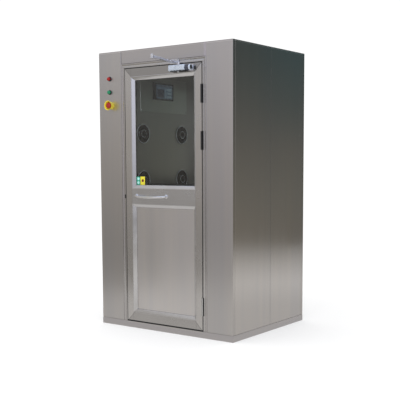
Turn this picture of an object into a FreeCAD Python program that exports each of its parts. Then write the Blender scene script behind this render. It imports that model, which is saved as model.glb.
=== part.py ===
import FreeCAD, Part
import math
import os

# Air shower: a one-person stainless cabinet with a self-closing door at each end.
# Millimetres. Z is up, the origin is the centre of the footprint on the floor.
# The entry door faces -Y. The exit end is the entry end turned half round about Z.

# Cabinet
cabinet_width = 1250.0
cabinet_depth = 1000.0
cabinet_height = 2110.0
plinth_height = 50.0
sheet = 2.0
panel_joint = 1.0
panel_bend = 3.0
pillar_width = 225.0
pillar_wrap = 30.0
panel_return = 11.0
roof_sheet = 3.0
roof_rebate = 2.0
roof_rebate_depth = 4.0

# Base
beam_flange = 60.0
beam_wall = 4.0
floor_sheet = 3.0
anchor_hole_radius = 7.0
sill_height = 11.0
sill_depth = 42.0
sill_chamfer = 3.0

# Door frame
door_head_height = 135.0
jamb_width = 37.0
jamb_depth = 60.0
jamb_groove_depth = 4.0
jamb_groove_width = 18.0
jamb_land = 12.0
stop_width = 17.0
stop_depth = 16.0
header_bevel_width = 20.0
header_bevel_depth = 4.0
header_return = 30.0

# Door leaf
door_gap = 3.0
sill_gap = 2.0
leaf_thickness = 40.0
stile_width = 57.0
top_rail_height = 60.0
bottom_rail_height = 68.0
mid_rail_bottom = 958.0
mid_rail_height = 116.0
rebate_lip = 20.0
rebate_back = 10.0
bead_width = 28.0
bead_stand = 1.5
bead_flat = 3.0
bead_nose = 3.0
pane_thickness = 8.0
pane_clearance = 3.0
gasket_width = 11.0
gasket_clearance = 0.3
drain_radius = 4.0

# Bow handle
handle_from_edge = 245.0
handle_on_rail = 62.0
handle_span = 284.0
handle_radius = 8.0
handle_corner_radius = 25.0
handle_corner_turn = 65.0
handle_stub = 6.0
handle_droop = 7.0
handle_foot_radius = 15.0
handle_foot_height = 4.0
handle_flare_radius = 12.0
handle_flare_length = 14.0

# Hinges
low_hinge_rise = 178.0
middle_hinge_drop = 546.0
top_hinge_drop = 216.0
hinge_stand = 4.0
knuckle_radius = 7.5
knuckle_height = 25.0
knuckle_gap = 0.5
knuckles = 5
pin_cap = 2.0
pin_cap_radius = 6.5
pin_radius = 4.0
pin_clearance = 0.05
hinge_plate = 1.3
hinge_plate_depth = 36.0
hinge_relief = 0.7
hinge_slot_width = 12.5
hinge_slot_depth = 7.0

# Door closer
closer_from_edge = 267.0
closer_length = 193.0
closer_drop = 51.0
closer_height = 42.0
closer_depth = 43.0
closer_plate = 3.0
closer_tube_length = 47.0
closer_corner = 10.0
spindle_along = 80.0
spindle_stand = 24.0
spindle_radius = 7.0
spindle_cap = 5.0
closer_end_round = 3.0
closer_plate_lead = 4.0
closer_plate_drop = 2.0
closer_plate_set = 1.0
arm_gap = 5.0
arm_thickness = 8.0
arm_over_leaf = 2.0
arm_width = 18.0
arm_hub_radius = 14.0
arm_hub_crown = 2.0
elbow_lead = 22.0
elbow_stand = 290.0
elbow_over_leaf = 26.0
elbow_gap = 0.5
elbow_eye_radius = 12.0
elbow_eye_height = 11.0
elbow_head_radius = 7.0
elbow_head_height = 7.0
elbow_blade_lift = 1.0
rod_radius = 4.5
rod_level_length = 150.0
rod_nut_radius = 8.0
rod_nut_length = 18.0
rod_nut_place = 75.0
shoe_lead_from_spindle = 72.0
shoe_stand = 22.0
shoe_eye_over_leaf = 16.5
shoe_ear_thickness = 4.0
shoe_ear_gap = 0.5
shoe_ear_radius = 10.0
shoe_eye_radius = 9.0
shoe_plate_length = 82.0
shoe_plate_height = 34.0
shoe_plate_rise = 2.0
shoe_plate_thickness = 4.0
shoe_plate_corner = 11.0
shoe_lead = 22.0
shoe_pin_radius = 4.0

# Interlock
magnet_length = 220.0
magnet_height = 38.0
magnet_depth = 26.0
magnet_gap = 0.4
armature_thickness = 9.6
armature_margin = 4.0
contact_width = 12.0
contact_height = 30.0
contact_depth = 12.0
contact_stand = 2.0
contact_reach = 1.5
contact_edge = 1.4
contact_drop = 7.0

# Chamber
roof_void = 110.0
nozzle_over_filter = 75.0
nozzle_under_cover = 173.0
nozzle_column_y = 247.0
nozzle_rim_radius = 77.0
nozzle_rim_stand = 5.0
nozzle_rim_width = 6.0
nozzle_body_radius = 65.0
nozzle_throat_radius = 61.0
nozzle_body_length = 12.0
nozzle_seat_depth = 42.0
nozzle_wall = 4.0
ball_radius = 50.0
ball_clearance = 0.06
ball_seat_half = 16.0
ball_bore_radius = 20.0
ball_mouth_radius = 26.0
ball_lip_radius = 30.0
ball_lip_length = 5.0
ball_back_radius = 30.0
ball_inlet_radius = 26.0
wall_hole_clearance = 0.5
light_length = 600.0
light_width = 120.0
light_x = 170.0
light_flange = 10.0
light_flange_thickness = 3.0
light_body_depth = 30.0

# Air path
grille_half_width = 250.0
grille_bottom = 110.0
grille_height = 320.0
grille_frame = 20.0
grille_stand = 3.0
grille_depth = 18.0
slat_count = 12
slat_thickness = 1.5
slat_depth = 12.5
slat_tuck = 6.0
slat_angle = 35.0
prefilter_thickness = 20.0
blower_axis_z = 330.0
blower_axis_y = 0.0
blower_wheel_radius = 125.0
blower_wheel_width = 90.0
blower_side_gap = 8.0
blower_from_wall = 45.0
blower_wall = 2.0
scroll_clearance = 12.0
scroll_growth = 60.0
scroll_tongue_angle = 100.0
scroll_arcs = 3
blower_outlet_top = 580.0
blower_inlet_radius = 95.0
blade_count = 24
blade_chord = 24.0
blade_thickness = 1.5
blade_angle = 35.0
wheel_plate = 3.0
wheel_hub_radius = 22.0
wheel_hub_length = 40.0
shaft_radius = 8.0
motor_radius = 68.0
motor_length = 56.0
motor_edge_radius = 8.5
motor_flange = 6.0
motor_flange_radius = 74.0
shaft_hole_radius = 16.0
blower_foot_spacing = 125.0
blower_foot_width = 60.0
blower_foot_thickness = 4.0
filter_height = 110.0
filter_half_length = 300.0
filter_wall = 4.0
filter_inset = 10.0
pleat_count = 24

# Controls
cover_low_y = -275.0
cover_high_y = 320.0
cover_drop = 60.0
cover_height = 270.0
cover_thickness = 3.0
display_centre_y = 4.0
display_width = 256.0
display_on_cover = 99.0
display_height = 134.0
display_depth = 8.0
display_border_y = 37.0
display_border_z = 12.0
display_screen_recess = 1.5
display_back_depth = 40.0
display_back_margin = 10.0
control_box_width = 200.0
control_box_depth = 300.0
control_box_height = 85.0
control_box_bend = 4.0
lamps_from_corner = 110.0
red_lamp_drop = 202.0
green_lamp_drop = 303.0
lamp_bezel_radius = 18.0
lamp_bezel_height = 8.0
lamp_lens_radius = 13.5
lamp_lens_round = 9.0
lamp_lens_height = 24.0
lamp_shank_radius = 10.8
lamp_shank_length = 28.0
control_hole_clearance = 0.4
stop_from_corner = 125.0
stop_drop = 404.0
stop_foot_radius = 29.0
stop_waist = 20.0
stop_waist_radius = 30.0
stop_rim_radius = 36.5
stop_rim_round = 1.0
stop_collar_height = 43.0
stop_collar_wall = 3.0
stop_floor = 15.0
stop_stem_radius = 11.0
stop_stem_back = 25.0
stop_head_radius = 22.0
stop_head_bottom = 25.0
stop_head_height = 15.0
stop_head_base_radius = 14.5
stop_head_brim_low = 4.0
stop_head_brim_high = 9.0
stop_head_shoulder = 2.0
stop_head_top_radius = 15.5
stop_grip_radius = 9.0
stop_grip_height = 2.0
stop_spigot_radius = 6.0
stop_spigot_length = 10.0
gland_x = -200.0
gland_drop = 50.0
gland_flats = 6
gland_hex_radius = 16.0
gland_flange_radius = 20.0
gland_flange_height = 4.0
gland_nut_height = 16.0
gland_bore_radius = 6.5
gland_shank_radius = 12.0
gland_shank_length = 15.0

# Worked out
half_width = cabinet_width / 2
half_depth = cabinet_depth / 2
front = -half_depth
floor_top = plinth_height
base_top = plinth_height - floor_sheet
panel_top = cabinet_height - roof_sheet - roof_rebate
door_opening_top = cabinet_height - door_head_height
ceiling_height = cabinet_height - roof_void
pillar_inner = half_width - pillar_width
jamb_outer = pillar_inner - panel_joint
opening_half = jamb_outer - jamb_width
frame_top = door_opening_top + jamb_width
chamber_front = front + jamb_depth
stop_face = chamber_front - stop_depth
leaf_half = opening_half - door_gap
leaf_bottom = floor_top + sill_gap
leaf_top = door_opening_top - door_gap
leaf_back = front + leaf_thickness
rebate_half = leaf_half - stile_width
pane_back = leaf_back - rebate_back
pane_front = pane_back - pane_thickness
window_bottom = mid_rail_bottom + mid_rail_height
window_top = leaf_top - top_rail_height
kick_bottom = leaf_bottom + bottom_rail_height
kick_top = mid_rail_bottom
inner_wall_x = pillar_inner
hinge_x = opening_half - door_gap / 2
hinge_y = front - hinge_stand
hinge_length = knuckles * knuckle_height + (knuckles - 1) * knuckle_gap
spindle_y = front - spindle_stand
elbow_y = front - elbow_stand
shoe_y = front - shoe_stand
handle_centre_x = -leaf_half + handle_from_edge
handle_height = mid_rail_bottom + handle_on_rail
contact_centre_z = handle_height - contact_drop
hinge_heights = (leaf_bottom + low_hinge_rise, leaf_top - middle_hinge_drop, leaf_top - top_hinge_drop)
closer_left = leaf_half - closer_from_edge
closer_bottom = leaf_top - closer_drop
spindle_x = closer_left + spindle_along
elbow_x = spindle_x - elbow_lead
elbow_height = leaf_top + elbow_over_leaf
shoe_pivot_x = spindle_x - shoe_lead_from_spindle
shoe_eye_bottom = leaf_top + shoe_eye_over_leaf
shoe_plate_bottom = door_opening_top + shoe_plate_rise
blower_start_x = inner_wall_x + blower_from_wall
cover_bottom = ceiling_height - cover_drop - cover_height
display_bottom = cover_bottom + display_on_cover
low_row = blower_outlet_top + filter_height + nozzle_over_filter
high_row = cover_bottom - nozzle_under_cover
nozzle_rows = (low_row, (low_row + high_row) / 2, high_row)
lamps_x = -half_width + lamps_from_corner
stop_x = -half_width + stop_from_corner
red_lamp_z = cabinet_height - red_lamp_drop
green_lamp_z = cabinet_height - green_lamp_drop
stop_z = cabinet_height - stop_drop
gland_z = cabinet_height - gland_drop

# Reach within which an edge counts as lying on a face
near = 0.1


def vec(x, y, z):
    return FreeCAD.Vector(x, y, z)


def box(x0, x1, y0, y1, z0, z1):
    return Part.makeBox(x1 - x0, y1 - y0, z1 - z0, vec(x0, y0, z0))


def rod(radius, start, direction, length):
    return Part.makeCylinder(radius, length, start, direction)


def polygon(points):
    return Part.Face(Part.makePolygon(points + [points[0]]))


def half_turn(shape):
    """The same piece at the other end of the cabinet."""
    copy = shape.copy()
    copy.rotate(vec(0, 0, 0), vec(0, 0, 1), 180)
    return copy


def mirrored(shape):
    """The same piece on the other side of the cabinet."""
    return shape.mirror(vec(0, 0, 0), vec(1, 0, 0))


def moved(shape, x, y, z):
    copy = shape.copy()
    copy.translate(vec(x, y, z))
    return copy


def group(shapes):
    return Part.makeCompound(shapes)


def fused(shapes):
    return shapes[0].fuse(shapes[1:]).removeSplitter()


def inset(points, distance, closed):
    """Points of an outline moved to the left of its run by a distance, with sharp corners."""
    count = len(points)
    lines = []
    for i in range(count if closed else count - 1):
        ax, ay = points[i]
        bx, by = points[(i + 1) % count]
        length = math.hypot(bx - ax, by - ay)
        dx = (bx - ax) / length
        dy = (by - ay) / length
        lines.append((ax - dy * distance, ay + dx * distance, dx, dy))
    result = []
    for i in range(count):
        if not closed and i == 0:
            result.append((lines[0][0], lines[0][1]))
            continue
        if not closed and i == count - 1:
            ax, ay = points[i]
            px, py, dx, dy = lines[-1]
            along = (ax - px) * dx + (ay - py) * dy
            result.append((px + dx * along, py + dy * along))
            continue
        px, py, dx, dy = lines[i - 1]
        qx, qy, ex, ey = lines[i]
        cross = dx * ey - dy * ex
        along = ((qx - px) * ey - (qy - py) * ex) / cross
        result.append((px + dx * along, py + dy * along))
    return result


def folded(line, z0, z1, bend):
    """A folded sheet panel: an outline in plan, the sheet's thickness to its left, z0 to z1."""
    plan = line + list(reversed(inset(line, sheet, False)))
    face = polygon([vec(x, y, z0) for x, y in plan])
    panel = face.extrude(vec(0, 0, z1 - z0))
    corners = []
    for edge in panel.Edges:
        ends = [v.Point for v in edge.Vertexes]
        upright = abs(ends[0].z - ends[-1].z) > (z1 - z0) / 2
        if upright and any(math.hypot(ends[0].x - x, ends[0].y - y) < sheet / 10 for x, y in line[1:-1]):
            corners.append(edge)
    return panel.makeFillet(bend, corners)


def bar(first, last):
    """A solid between two like polygons, with flat sides from corner to corner."""
    count = len(first)
    faces = [polygon(first), polygon(last)]
    for i in range(count):
        j = (i + 1) % count
        faces.append(polygon([first[i], first[j], last[j], last[i]]))
    shell = Part.makeShell(faces)
    shell.sewShape()
    solid = Part.makeSolid(shell)
    if solid.Volume < 0:
        solid.reverse()
    return solid


def revolved(points, centre, axis):
    """A turned piece. A point is a radius and a distance along the axis.
    A point of four numbers is the middle and the end of an arc."""
    side = vec(0, 0, 1) if abs(axis.z) < 0.5 else vec(1, 0, 0)
    edges = []
    last = points[0]
    for point in points[1:] + points[:1]:
        start = centre + side * last[-2] + axis * last[-1]
        end = centre + side * point[-2] + axis * point[-1]
        if len(point) == 4:
            middle = centre + side * point[0] + axis * point[1]
            edges.append(Part.Arc(start, middle, end).toShape())
        else:
            edges.append(Part.LineSegment(start, end).toShape())
        last = point
    return Part.Face(Part.Wire(edges)).revolve(centre, axis, 360)


# Base frame: welded channels with their open sides inward, and a cross beam of I section
def base_frame():
    frame = box(-half_width, half_width, front, -front, 0, base_top)
    for low, high in ((front + beam_flange, -beam_flange / 2), (beam_flange / 2, -front - beam_flange)):
        frame = frame.cut(box(-half_width + beam_flange, half_width - beam_flange, low, high, 0, base_top))
    for low, high in ((front + beam_wall, -beam_wall / 2), (beam_wall / 2, -front - beam_wall)):
        frame = frame.cut(box(-half_width + beam_wall, half_width - beam_wall, low, high,
                              beam_wall, base_top - beam_wall))
    for x in (-1, 1):
        for y in (-1, 1):
            place = vec(x * (half_width - beam_flange / 2), y * (half_depth - beam_flange / 2), 0)
            frame = frame.cut(rod(anchor_hole_radius, place, vec(0, 0, 1), beam_wall))
    notch = box(-opening_half, opening_half, front, front + sill_depth, floor_top - sill_height, base_top)
    frame = frame.cut(notch).cut(half_turn(notch))
    return frame


# Floor plate on the base, set in a little so that a seam shows above the plinth
def floor_plate():
    plate = box(-half_width + panel_bend, half_width - panel_bend,
                front + panel_bend, -front - panel_bend, base_top, floor_top)
    notch = box(-opening_half, opening_half, front, front + sill_depth, base_top, floor_top)
    return plate.cut(notch).cut(half_turn(notch))


def door_sill():
    sill = box(-opening_half, opening_half, front, front + sill_depth, floor_top - sill_height, floor_top)
    nose = [e for e in sill.Edges if e.BoundBox.YMax < front + near and e.BoundBox.ZMin > floor_top - near]
    return sill.makeChamfer(sill_chamfer, nose)


# Corner pillars: folded sheet that wraps the corner and turns in beside the door frame
def pillar(control_holes):
    """The pillar at the right of the entry door. The left one is its mirror image."""
    line = [(pillar_inner, chamber_front - panel_joint), (pillar_inner, front),
            (half_width, front), (half_width, front + pillar_wrap)]
    panel = folded(line, floor_top, panel_top, panel_bend)
    for x, z, radius in control_holes:
        hole = rod(radius + control_hole_clearance, vec(-x, front, z), vec(0, 1, 0), sheet)
        panel = panel.cut(hole)
    return panel


def corner_pillars():
    plain = pillar([])
    drilled = pillar([(lamps_x, red_lamp_z, lamp_shank_radius), (lamps_x, green_lamp_z, lamp_shank_radius),
                      (stop_x, stop_z, stop_stem_radius)])
    return group([mirrored(drilled), plain, half_turn(plain), half_turn(mirrored(plain))])


# Headers: a face panel over each door, with a shallow bevel at both ends and a lower flange
def header(with_gland):
    end = jamb_outer
    bevel = end - header_bevel_width
    line = [(-end, front + header_return), (-end, front + header_bevel_depth), (-bevel, front),
            (bevel, front), (end, front + header_bevel_depth), (end, front + header_return)]
    plan = line + list(reversed(inset(line, sheet, False)))
    low = frame_top + panel_joint
    face = polygon([vec(x, y, low) for x, y in plan]).extrude(vec(0, 0, panel_top - low))
    flange = box(-bevel, bevel, front + sheet / 2, front + header_return, low, low + sheet)
    panel = face.fuse(flange).removeSplitter()
    if with_gland:
        hole = rod(gland_shank_radius + control_hole_clearance, vec(-gland_x, front, gland_z),
                   vec(0, 1, 0), sheet)
        panel = panel.cut(hole)
    return panel


def headers():
    return group([header(False), half_turn(header(True))])


# Door frame: a hollow folded section with a groove along its face, mitred at the top corners
def jamb_section():
    land = jamb_land
    groove = jamb_groove_width
    edge = jamb_groove_depth / 2
    return [(0, front), (land, front), (land + groove / 2, front + jamb_groove_depth),
            (land + groove, front), (jamb_width - edge, front), (jamb_width, front + edge),
            (jamb_width, chamber_front), (-stop_width, chamber_front), (-stop_width, stop_face),
            (0, stop_face)]


def frame_sides(section, foot):
    """The three mitred lengths of the door frame, from a section of outward distance and depth."""
    left_foot = [vec(-opening_half - u, y, foot) for u, y in section]
    left_top = [vec(-opening_half - u, y, door_opening_top + u) for u, y in section]
    right_top = [vec(opening_half + u, y, door_opening_top + u) for u, y in section]
    right_foot = [vec(opening_half + u, y, foot) for u, y in section]
    return [bar(left_foot, left_top), bar(left_top, right_top), bar(right_top, right_foot)]


def hinge_slots():
    """Pockets in the door frame's face beside the hinge knuckles."""
    slots = []
    for z in hinge_heights:
        reach = hinge_length / 2 + pin_cap + hinge_relief
        low = z - reach
        high = z + reach
        slots.append(box(opening_half, opening_half + hinge_slot_width, front, front + hinge_slot_depth,
                         low, high))
    return slots


def contact_pocket(clearance):
    half = contact_height / 2 + clearance
    return box(-opening_half - contact_width, -opening_half, front, front + contact_depth,
               contact_centre_z - half, contact_centre_z + half)


def door_frame():
    section = jamb_section()
    outside = fused(frame_sides(section, floor_top))
    hollow = fused(frame_sides(inset(section, sheet, True), floor_top - sheet))
    frame = outside.cut(hollow)
    for slot in hinge_slots():
        frame = frame.cut(slot)
    return frame.cut(contact_pocket(0))


def door_frames():
    frame = door_frame()
    sill = door_sill()
    return group([frame, half_turn(frame), sill, half_turn(sill)])


# Gasket strips on the frame's stop, on three sides of each door
def door_gasket():
    low = -(stop_width + gasket_width) / 2
    high = low + gasket_width
    face = leaf_back + gasket_clearance
    section = [(low, face), (high, face), (high, stop_face), (low, stop_face)]
    return fused(frame_sides(section, floor_top))


# Side panels: two folded sheets on each side, meeting at a seam in the middle
def side_panel():
    low = front + pillar_wrap + panel_joint
    high = -panel_joint / 2
    deep = half_width - panel_return
    line = [(deep, low), (half_width, low), (half_width, high), (deep, high)]
    return folded(line, floor_top, panel_top, sheet / 2)


def side_panels():
    panel = side_panel()
    rear = mirrored(half_turn(panel))
    return group([panel, rear, mirrored(panel), mirrored(rear)])


# Roof: a sheet over the whole cabinet on a set-in rebate that leaves a shadow line
def roof_panel():
    top = box(-half_width, half_width, front, -front, cabinet_height - roof_sheet, cabinet_height)
    corners = [e for e in top.Edges if e.BoundBox.ZLength > roof_sheet / 2]
    top = top.makeFillet(panel_bend, corners)
    inner = roof_rebate_depth
    rebate = box(-half_width + inner, half_width - inner, front + inner, -front - inner,
                 panel_top, cabinet_height - roof_sheet)
    return top.fuse(rebate).removeSplitter()


# Chamber walls with holes for the nozzles and the return air
def inner_wall(with_display):
    wall = box(-inner_wall_x - sheet, -inner_wall_x, chamber_front, -chamber_front, floor_top, ceiling_height)
    for z in nozzle_rows:
        for y in (-nozzle_column_y, nozzle_column_y):
            hole = rod(nozzle_body_radius + wall_hole_clearance, vec(-inner_wall_x - sheet, y, z),
                       vec(1, 0, 0), sheet)
            wall = wall.cut(hole)
    half = grille_half_width - grille_frame / 2
    wall = wall.cut(box(-inner_wall_x - sheet, -inner_wall_x, -half, half,
                        grille_bottom + grille_frame / 2, grille_bottom + grille_height - grille_frame / 2))
    if with_display:
        wall = wall.cut(display_opening(-inner_wall_x - sheet, -inner_wall_x))
    return wall


def display_opening(x0, x1):
    low = display_centre_y - display_width / 2 + display_back_margin - wall_hole_clearance
    high = display_centre_y + display_width / 2 - display_back_margin + wall_hole_clearance
    bottom = display_bottom + display_back_margin - wall_hole_clearance
    top = display_bottom + display_height - display_back_margin + wall_hole_clearance
    return box(x0, x1, low, high, bottom, top)


def inner_walls():
    return group([inner_wall(True), mirrored(inner_wall(False))])


def light_place(x):
    return (x - light_width / 2, x + light_width / 2, -light_length / 2, light_length / 2)


def ceiling_panel():
    panel = box(-inner_wall_x, inner_wall_x, chamber_front, -chamber_front,
                ceiling_height, ceiling_height + sheet)
    for x in (-light_x, light_x):
        x0, x1, y0, y1 = light_place(x)
        gap = wall_hole_clearance
        panel = panel.cut(box(x0 - gap, x1 + gap, y0 - gap, y1 + gap, ceiling_height, ceiling_height + sheet))
    return panel


# Ceiling lights: a shallow housing through the ceiling with a flanged diffuser below
def ceiling_light(x):
    x0, x1, y0, y1 = light_place(x)
    body = box(x0, x1, y0, y1, ceiling_height, ceiling_height + light_body_depth)
    flange = box(x0 - light_flange, x1 + light_flange, y0 - light_flange, y1 + light_flange,
                 ceiling_height - light_flange_thickness, ceiling_height)
    edges = [e for e in flange.Edges if e.BoundBox.ZMax < ceiling_height - light_flange_thickness + near]
    flange = flange.makeChamfer(light_flange_thickness / 2, edges)
    inside = box(x0 + sheet, x1 - sheet, y0 + sheet, y1 - sheet, ceiling_height,
                 ceiling_height + light_body_depth)
    return body.fuse(flange).removeSplitter().cut(inside)


# Nozzle housings: a flanged bowl with a spherical seat, pressed into the wall
def nozzle_ring():
    rim = nozzle_rim_radius
    stand = nozzle_rim_stand
    width = nozzle_rim_width
    seat = ball_radius + ball_clearance
    seat_radius = math.sqrt(seat ** 2 - ball_seat_half ** 2)
    front_seat = -nozzle_seat_depth + ball_seat_half
    back_seat = -nozzle_seat_depth - ball_seat_half
    points = [(rim, 0), (rim, stand / 2), (rim - width / 3, stand), (rim - width, stand),
              (nozzle_throat_radius, 0), (seat_radius, front_seat),
              (seat, -nozzle_seat_depth, seat_radius, back_seat),
              (seat_radius + nozzle_wall, back_seat), (nozzle_body_radius, -nozzle_body_length),
              (nozzle_body_radius, 0)]
    return revolved(points, vec(0, 0, 0), vec(1, 0, 0))


# Nozzle balls: a bored ball with a short lip, free to tilt in its seat
def nozzle_ball():
    lip_start = math.sqrt(ball_radius ** 2 - ball_lip_radius ** 2)
    back = -math.sqrt(ball_radius ** 2 - ball_back_radius ** 2)
    lip_end = ball_radius + ball_lip_length
    points = [(ball_inlet_radius, back), (ball_back_radius, back),
              (ball_radius, 0, ball_lip_radius, lip_start), (ball_lip_radius, lip_end),
              (ball_mouth_radius, lip_end), (ball_bore_radius, lip_start / 2), (ball_bore_radius, 0)]
    return revolved(points, vec(-nozzle_seat_depth, 0, 0), vec(1, 0, 0))


def nozzle_places():
    """Every nozzle: its wall, column, row and the y and z of its centre."""
    places = []
    for wall in ("left", "right"):
        for row, z in zip(("low", "middle", "high"), nozzle_rows):
            for column, y in (("front", -nozzle_column_y), ("rear", nozzle_column_y)):
                places.append((wall, row, column, y, z))
    return places


def on_wall(shape, wall, y, z):
    """A nozzle piece moved from the origin, where it blows along +X, to its wall."""
    if wall == "right":
        return moved(half_turn(shape), inner_wall_x, y, z)
    return moved(shape, -inner_wall_x, y, z)


# Return grilles: a frame of slats low in each wall
def return_grille():
    low = grille_bottom
    high = grille_bottom + grille_height
    half = grille_half_width
    face = -inner_wall_x + grille_stand
    plate = box(-inner_wall_x, face, -half, half, low, high)
    rim = grille_frame / 2 + wall_hole_clearance
    tray = box(-inner_wall_x - grille_depth, -inner_wall_x, -half + rim, half - rim, low + rim, high - rim)
    inner = grille_frame
    hole = box(-inner_wall_x - grille_depth, face, -half + inner, half - inner, low + inner, high - inner)
    frame = plate.fuse(tray).cut(hole)
    pitch = (grille_height - 2 * inner) / slat_count
    slats = []
    for i in range(slat_count):
        z = low + inner + pitch * (i + 0.5)
        end = half - inner + slat_tuck
        slat = box(-slat_depth / 2, slat_depth / 2, -end, end, -slat_thickness / 2, slat_thickness / 2)
        slat.rotate(vec(0, 0, 0), vec(0, 1, 0), -slat_angle)
        slats.append(moved(slat, -inner_wall_x - grille_depth / 2, 0, z))
    return fused([frame] + slats)


# Prefilters: a mat behind each grille
def prefilter():
    rim = grille_frame / 2 + wall_hole_clearance
    back = -inner_wall_x - grille_depth
    return box(back - prefilter_thickness, back, -grille_half_width + rim, grille_half_width - rim,
               grille_bottom + rim, grille_bottom + grille_height - rim)


# Blowers: a scroll housing with its outlet upward under a filter shelf, a bladed wheel and a motor
def scroll_face(x, shrink):
    """The scroll's outline in the plane x: three growing arcs from the tongue, and the outlet duct."""
    sweep = scroll_tongue_angle + 180
    steps = 2 * scroll_arcs
    points = []
    for i in range(steps + 1):
        angle = math.radians(scroll_tongue_angle - sweep * i / steps)
        size = blower_wheel_radius + scroll_clearance + scroll_growth * i / steps - shrink
        points.append(vec(x, blower_axis_y + size * math.cos(angle), blower_axis_z + size * math.sin(angle)))
    edges = []
    for i in range(0, steps, 2):
        edges.append(Part.Arc(points[i], points[i + 1], points[i + 2]).toShape())
    tongue = points[0] + vec(0, -2 * shrink, 0)
    far = vec(x, points[-1].y, blower_outlet_top + shrink)
    near = vec(x, tongue.y, blower_outlet_top + shrink)
    for start, end in ((points[-1], far), (far, near), (near, tongue), (tongue, points[0])):
        if (end - start).Length > 0:
            edges.append(Part.LineSegment(start, end).toShape())
    return Part.Face(Part.Wire(edges))


def filter_span():
    """The side plenum's width that the final filter and the shelf under it fill."""
    return inner_wall_x + sheet + filter_inset, half_width - sheet - filter_inset


def blower_housing():
    depth = blower_wheel_width + 2 * blower_side_gap + 2 * blower_wall
    outside = scroll_face(blower_start_x, 0).extrude(vec(depth, 0, 0))
    inner_depth = depth - 2 * blower_wall
    hollow = scroll_face(blower_start_x + blower_wall, blower_wall).extrude(vec(inner_depth, 0, 0))
    x0, x1 = filter_span()
    shelf = box(x0, x1, -filter_half_length, filter_half_length, blower_outlet_top - blower_wall,
                blower_outlet_top)
    housing = outside.fuse(shelf).cut(hollow)
    centre = vec(blower_start_x, blower_axis_y, blower_axis_z)
    housing = housing.cut(rod(blower_inlet_radius, centre, vec(1, 0, 0), blower_wall))
    back = vec(blower_start_x + depth - blower_wall, blower_axis_y, blower_axis_z)
    housing = housing.cut(rod(shaft_hole_radius, back, vec(1, 0, 0), blower_wall))
    for y in (-blower_foot_spacing / 2, blower_foot_spacing / 2):
        y0 = y - blower_foot_width / 2
        leg = box(blower_start_x, blower_start_x + blower_foot_thickness, y0, y0 + blower_foot_width,
                  floor_top, blower_axis_z - blower_wheel_radius)
        leg = leg.cut(rod(blower_wheel_radius + scroll_clearance, centre, vec(1, 0, 0), depth))
        pad = box(blower_start_x, blower_start_x + depth, y0, y0 + blower_foot_width,
                  floor_top, floor_top + blower_foot_thickness)
        housing = housing.fuse(leg.fuse(pad))
    return housing.removeSplitter()


def blower_wheel():
    x0 = blower_start_x + blower_wall + blower_side_gap
    x1 = x0 + blower_wheel_width
    centre_front = vec(x0, blower_axis_y, blower_axis_z)
    back = vec(x1 - wheel_plate, blower_axis_y, blower_axis_z)
    plate = rod(blower_wheel_radius, back, vec(1, 0, 0), wheel_plate)
    ring = rod(blower_wheel_radius, centre_front, vec(1, 0, 0), wheel_plate)
    ring = ring.cut(rod(blower_wheel_radius - blade_chord, centre_front, vec(1, 0, 0), wheel_plate))
    hub = rod(wheel_hub_radius, vec(x1 - wheel_hub_length, blower_axis_y, blower_axis_z), vec(1, 0, 0),
              wheel_hub_length)
    blades = []
    span = blower_wheel_width - wheel_plate
    for i in range(blade_count):
        blade = box(x0 + wheel_plate / 2, x0 + wheel_plate / 2 + span, -blade_chord / 2, blade_chord / 2,
                    -blade_thickness / 2, blade_thickness / 2)
        blade.rotate(vec(0, 0, 0), vec(1, 0, 0), blade_angle)
        blade.translate(vec(0, blower_wheel_radius - blade_chord / 2 - wheel_plate / 2, 0))
        blade.rotate(vec(0, 0, 0), vec(1, 0, 0), 360.0 / blade_count * i)
        blades.append(moved(blade, 0, blower_axis_y, blower_axis_z))
    wheel = fused([plate, ring, hub] + blades)
    bore = rod(shaft_radius + pin_clearance, vec(x1 - wheel_hub_length, blower_axis_y, blower_axis_z),
               vec(1, 0, 0), wheel_hub_length)
    return wheel.cut(bore)


def blower_motor():
    depth = blower_wheel_width + 2 * blower_side_gap + 2 * blower_wall
    x0 = blower_start_x + depth
    centre = vec(x0, blower_axis_y, blower_axis_z)
    flange = rod(motor_flange_radius, centre, vec(1, 0, 0), motor_flange)
    body = rod(motor_radius, centre, vec(1, 0, 0), motor_length)
    rim = [e for e in body.Edges if e.BoundBox.XMin > x0 + motor_length - near]
    body = body.makeFillet(motor_edge_radius, rim)
    shaft_length = blower_wall + blower_side_gap + wheel_hub_length
    shaft = rod(shaft_radius, vec(x0 - shaft_length, blower_axis_y, blower_axis_z), vec(1, 0, 0),
                shaft_length + motor_flange)
    return fused([flange, body, shaft])


# Final filters: a frame round a pleated pack, standing on the shelf over the blower's outlet
def hepa_filter():
    x0, x1 = filter_span()
    half = filter_half_length
    low = blower_outlet_top
    high = low + filter_height
    case = box(x0, x1, -half, half, low, high)
    inside = box(x0 + filter_wall, x1 - filter_wall, -half + filter_wall, half - filter_wall, low, high)
    case = case.cut(inside)
    pitch = 2 * (half - filter_wall) / pleat_count
    line = []
    for i in range(pleat_count + 1):
        y = -half + filter_wall + pitch * i
        line.append((y, low + filter_wall if i % 2 else high - filter_wall - pitch))
    upper = [(y, z + pitch) for y, z in line]
    pack = polygon([vec(x0 + filter_wall, y, z) for y, z in line + list(reversed(upper))])
    pack = pack.extrude(vec(x1 - x0 - 2 * filter_wall, 0, 0))
    return case.fuse(pack).removeSplitter()


# Control cover and the touch display on the left chamber wall
def control_cover():
    x1 = -inner_wall_x + cover_thickness
    cover = box(-inner_wall_x, x1, cover_low_y, cover_high_y, cover_bottom, cover_bottom + cover_height)
    face_edges = [e for e in cover.Edges if e.BoundBox.XMin > x1 - near]
    cover = cover.makeChamfer(cover_thickness / 2, face_edges)
    return cover.cut(display_opening(-inner_wall_x, x1))


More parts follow.
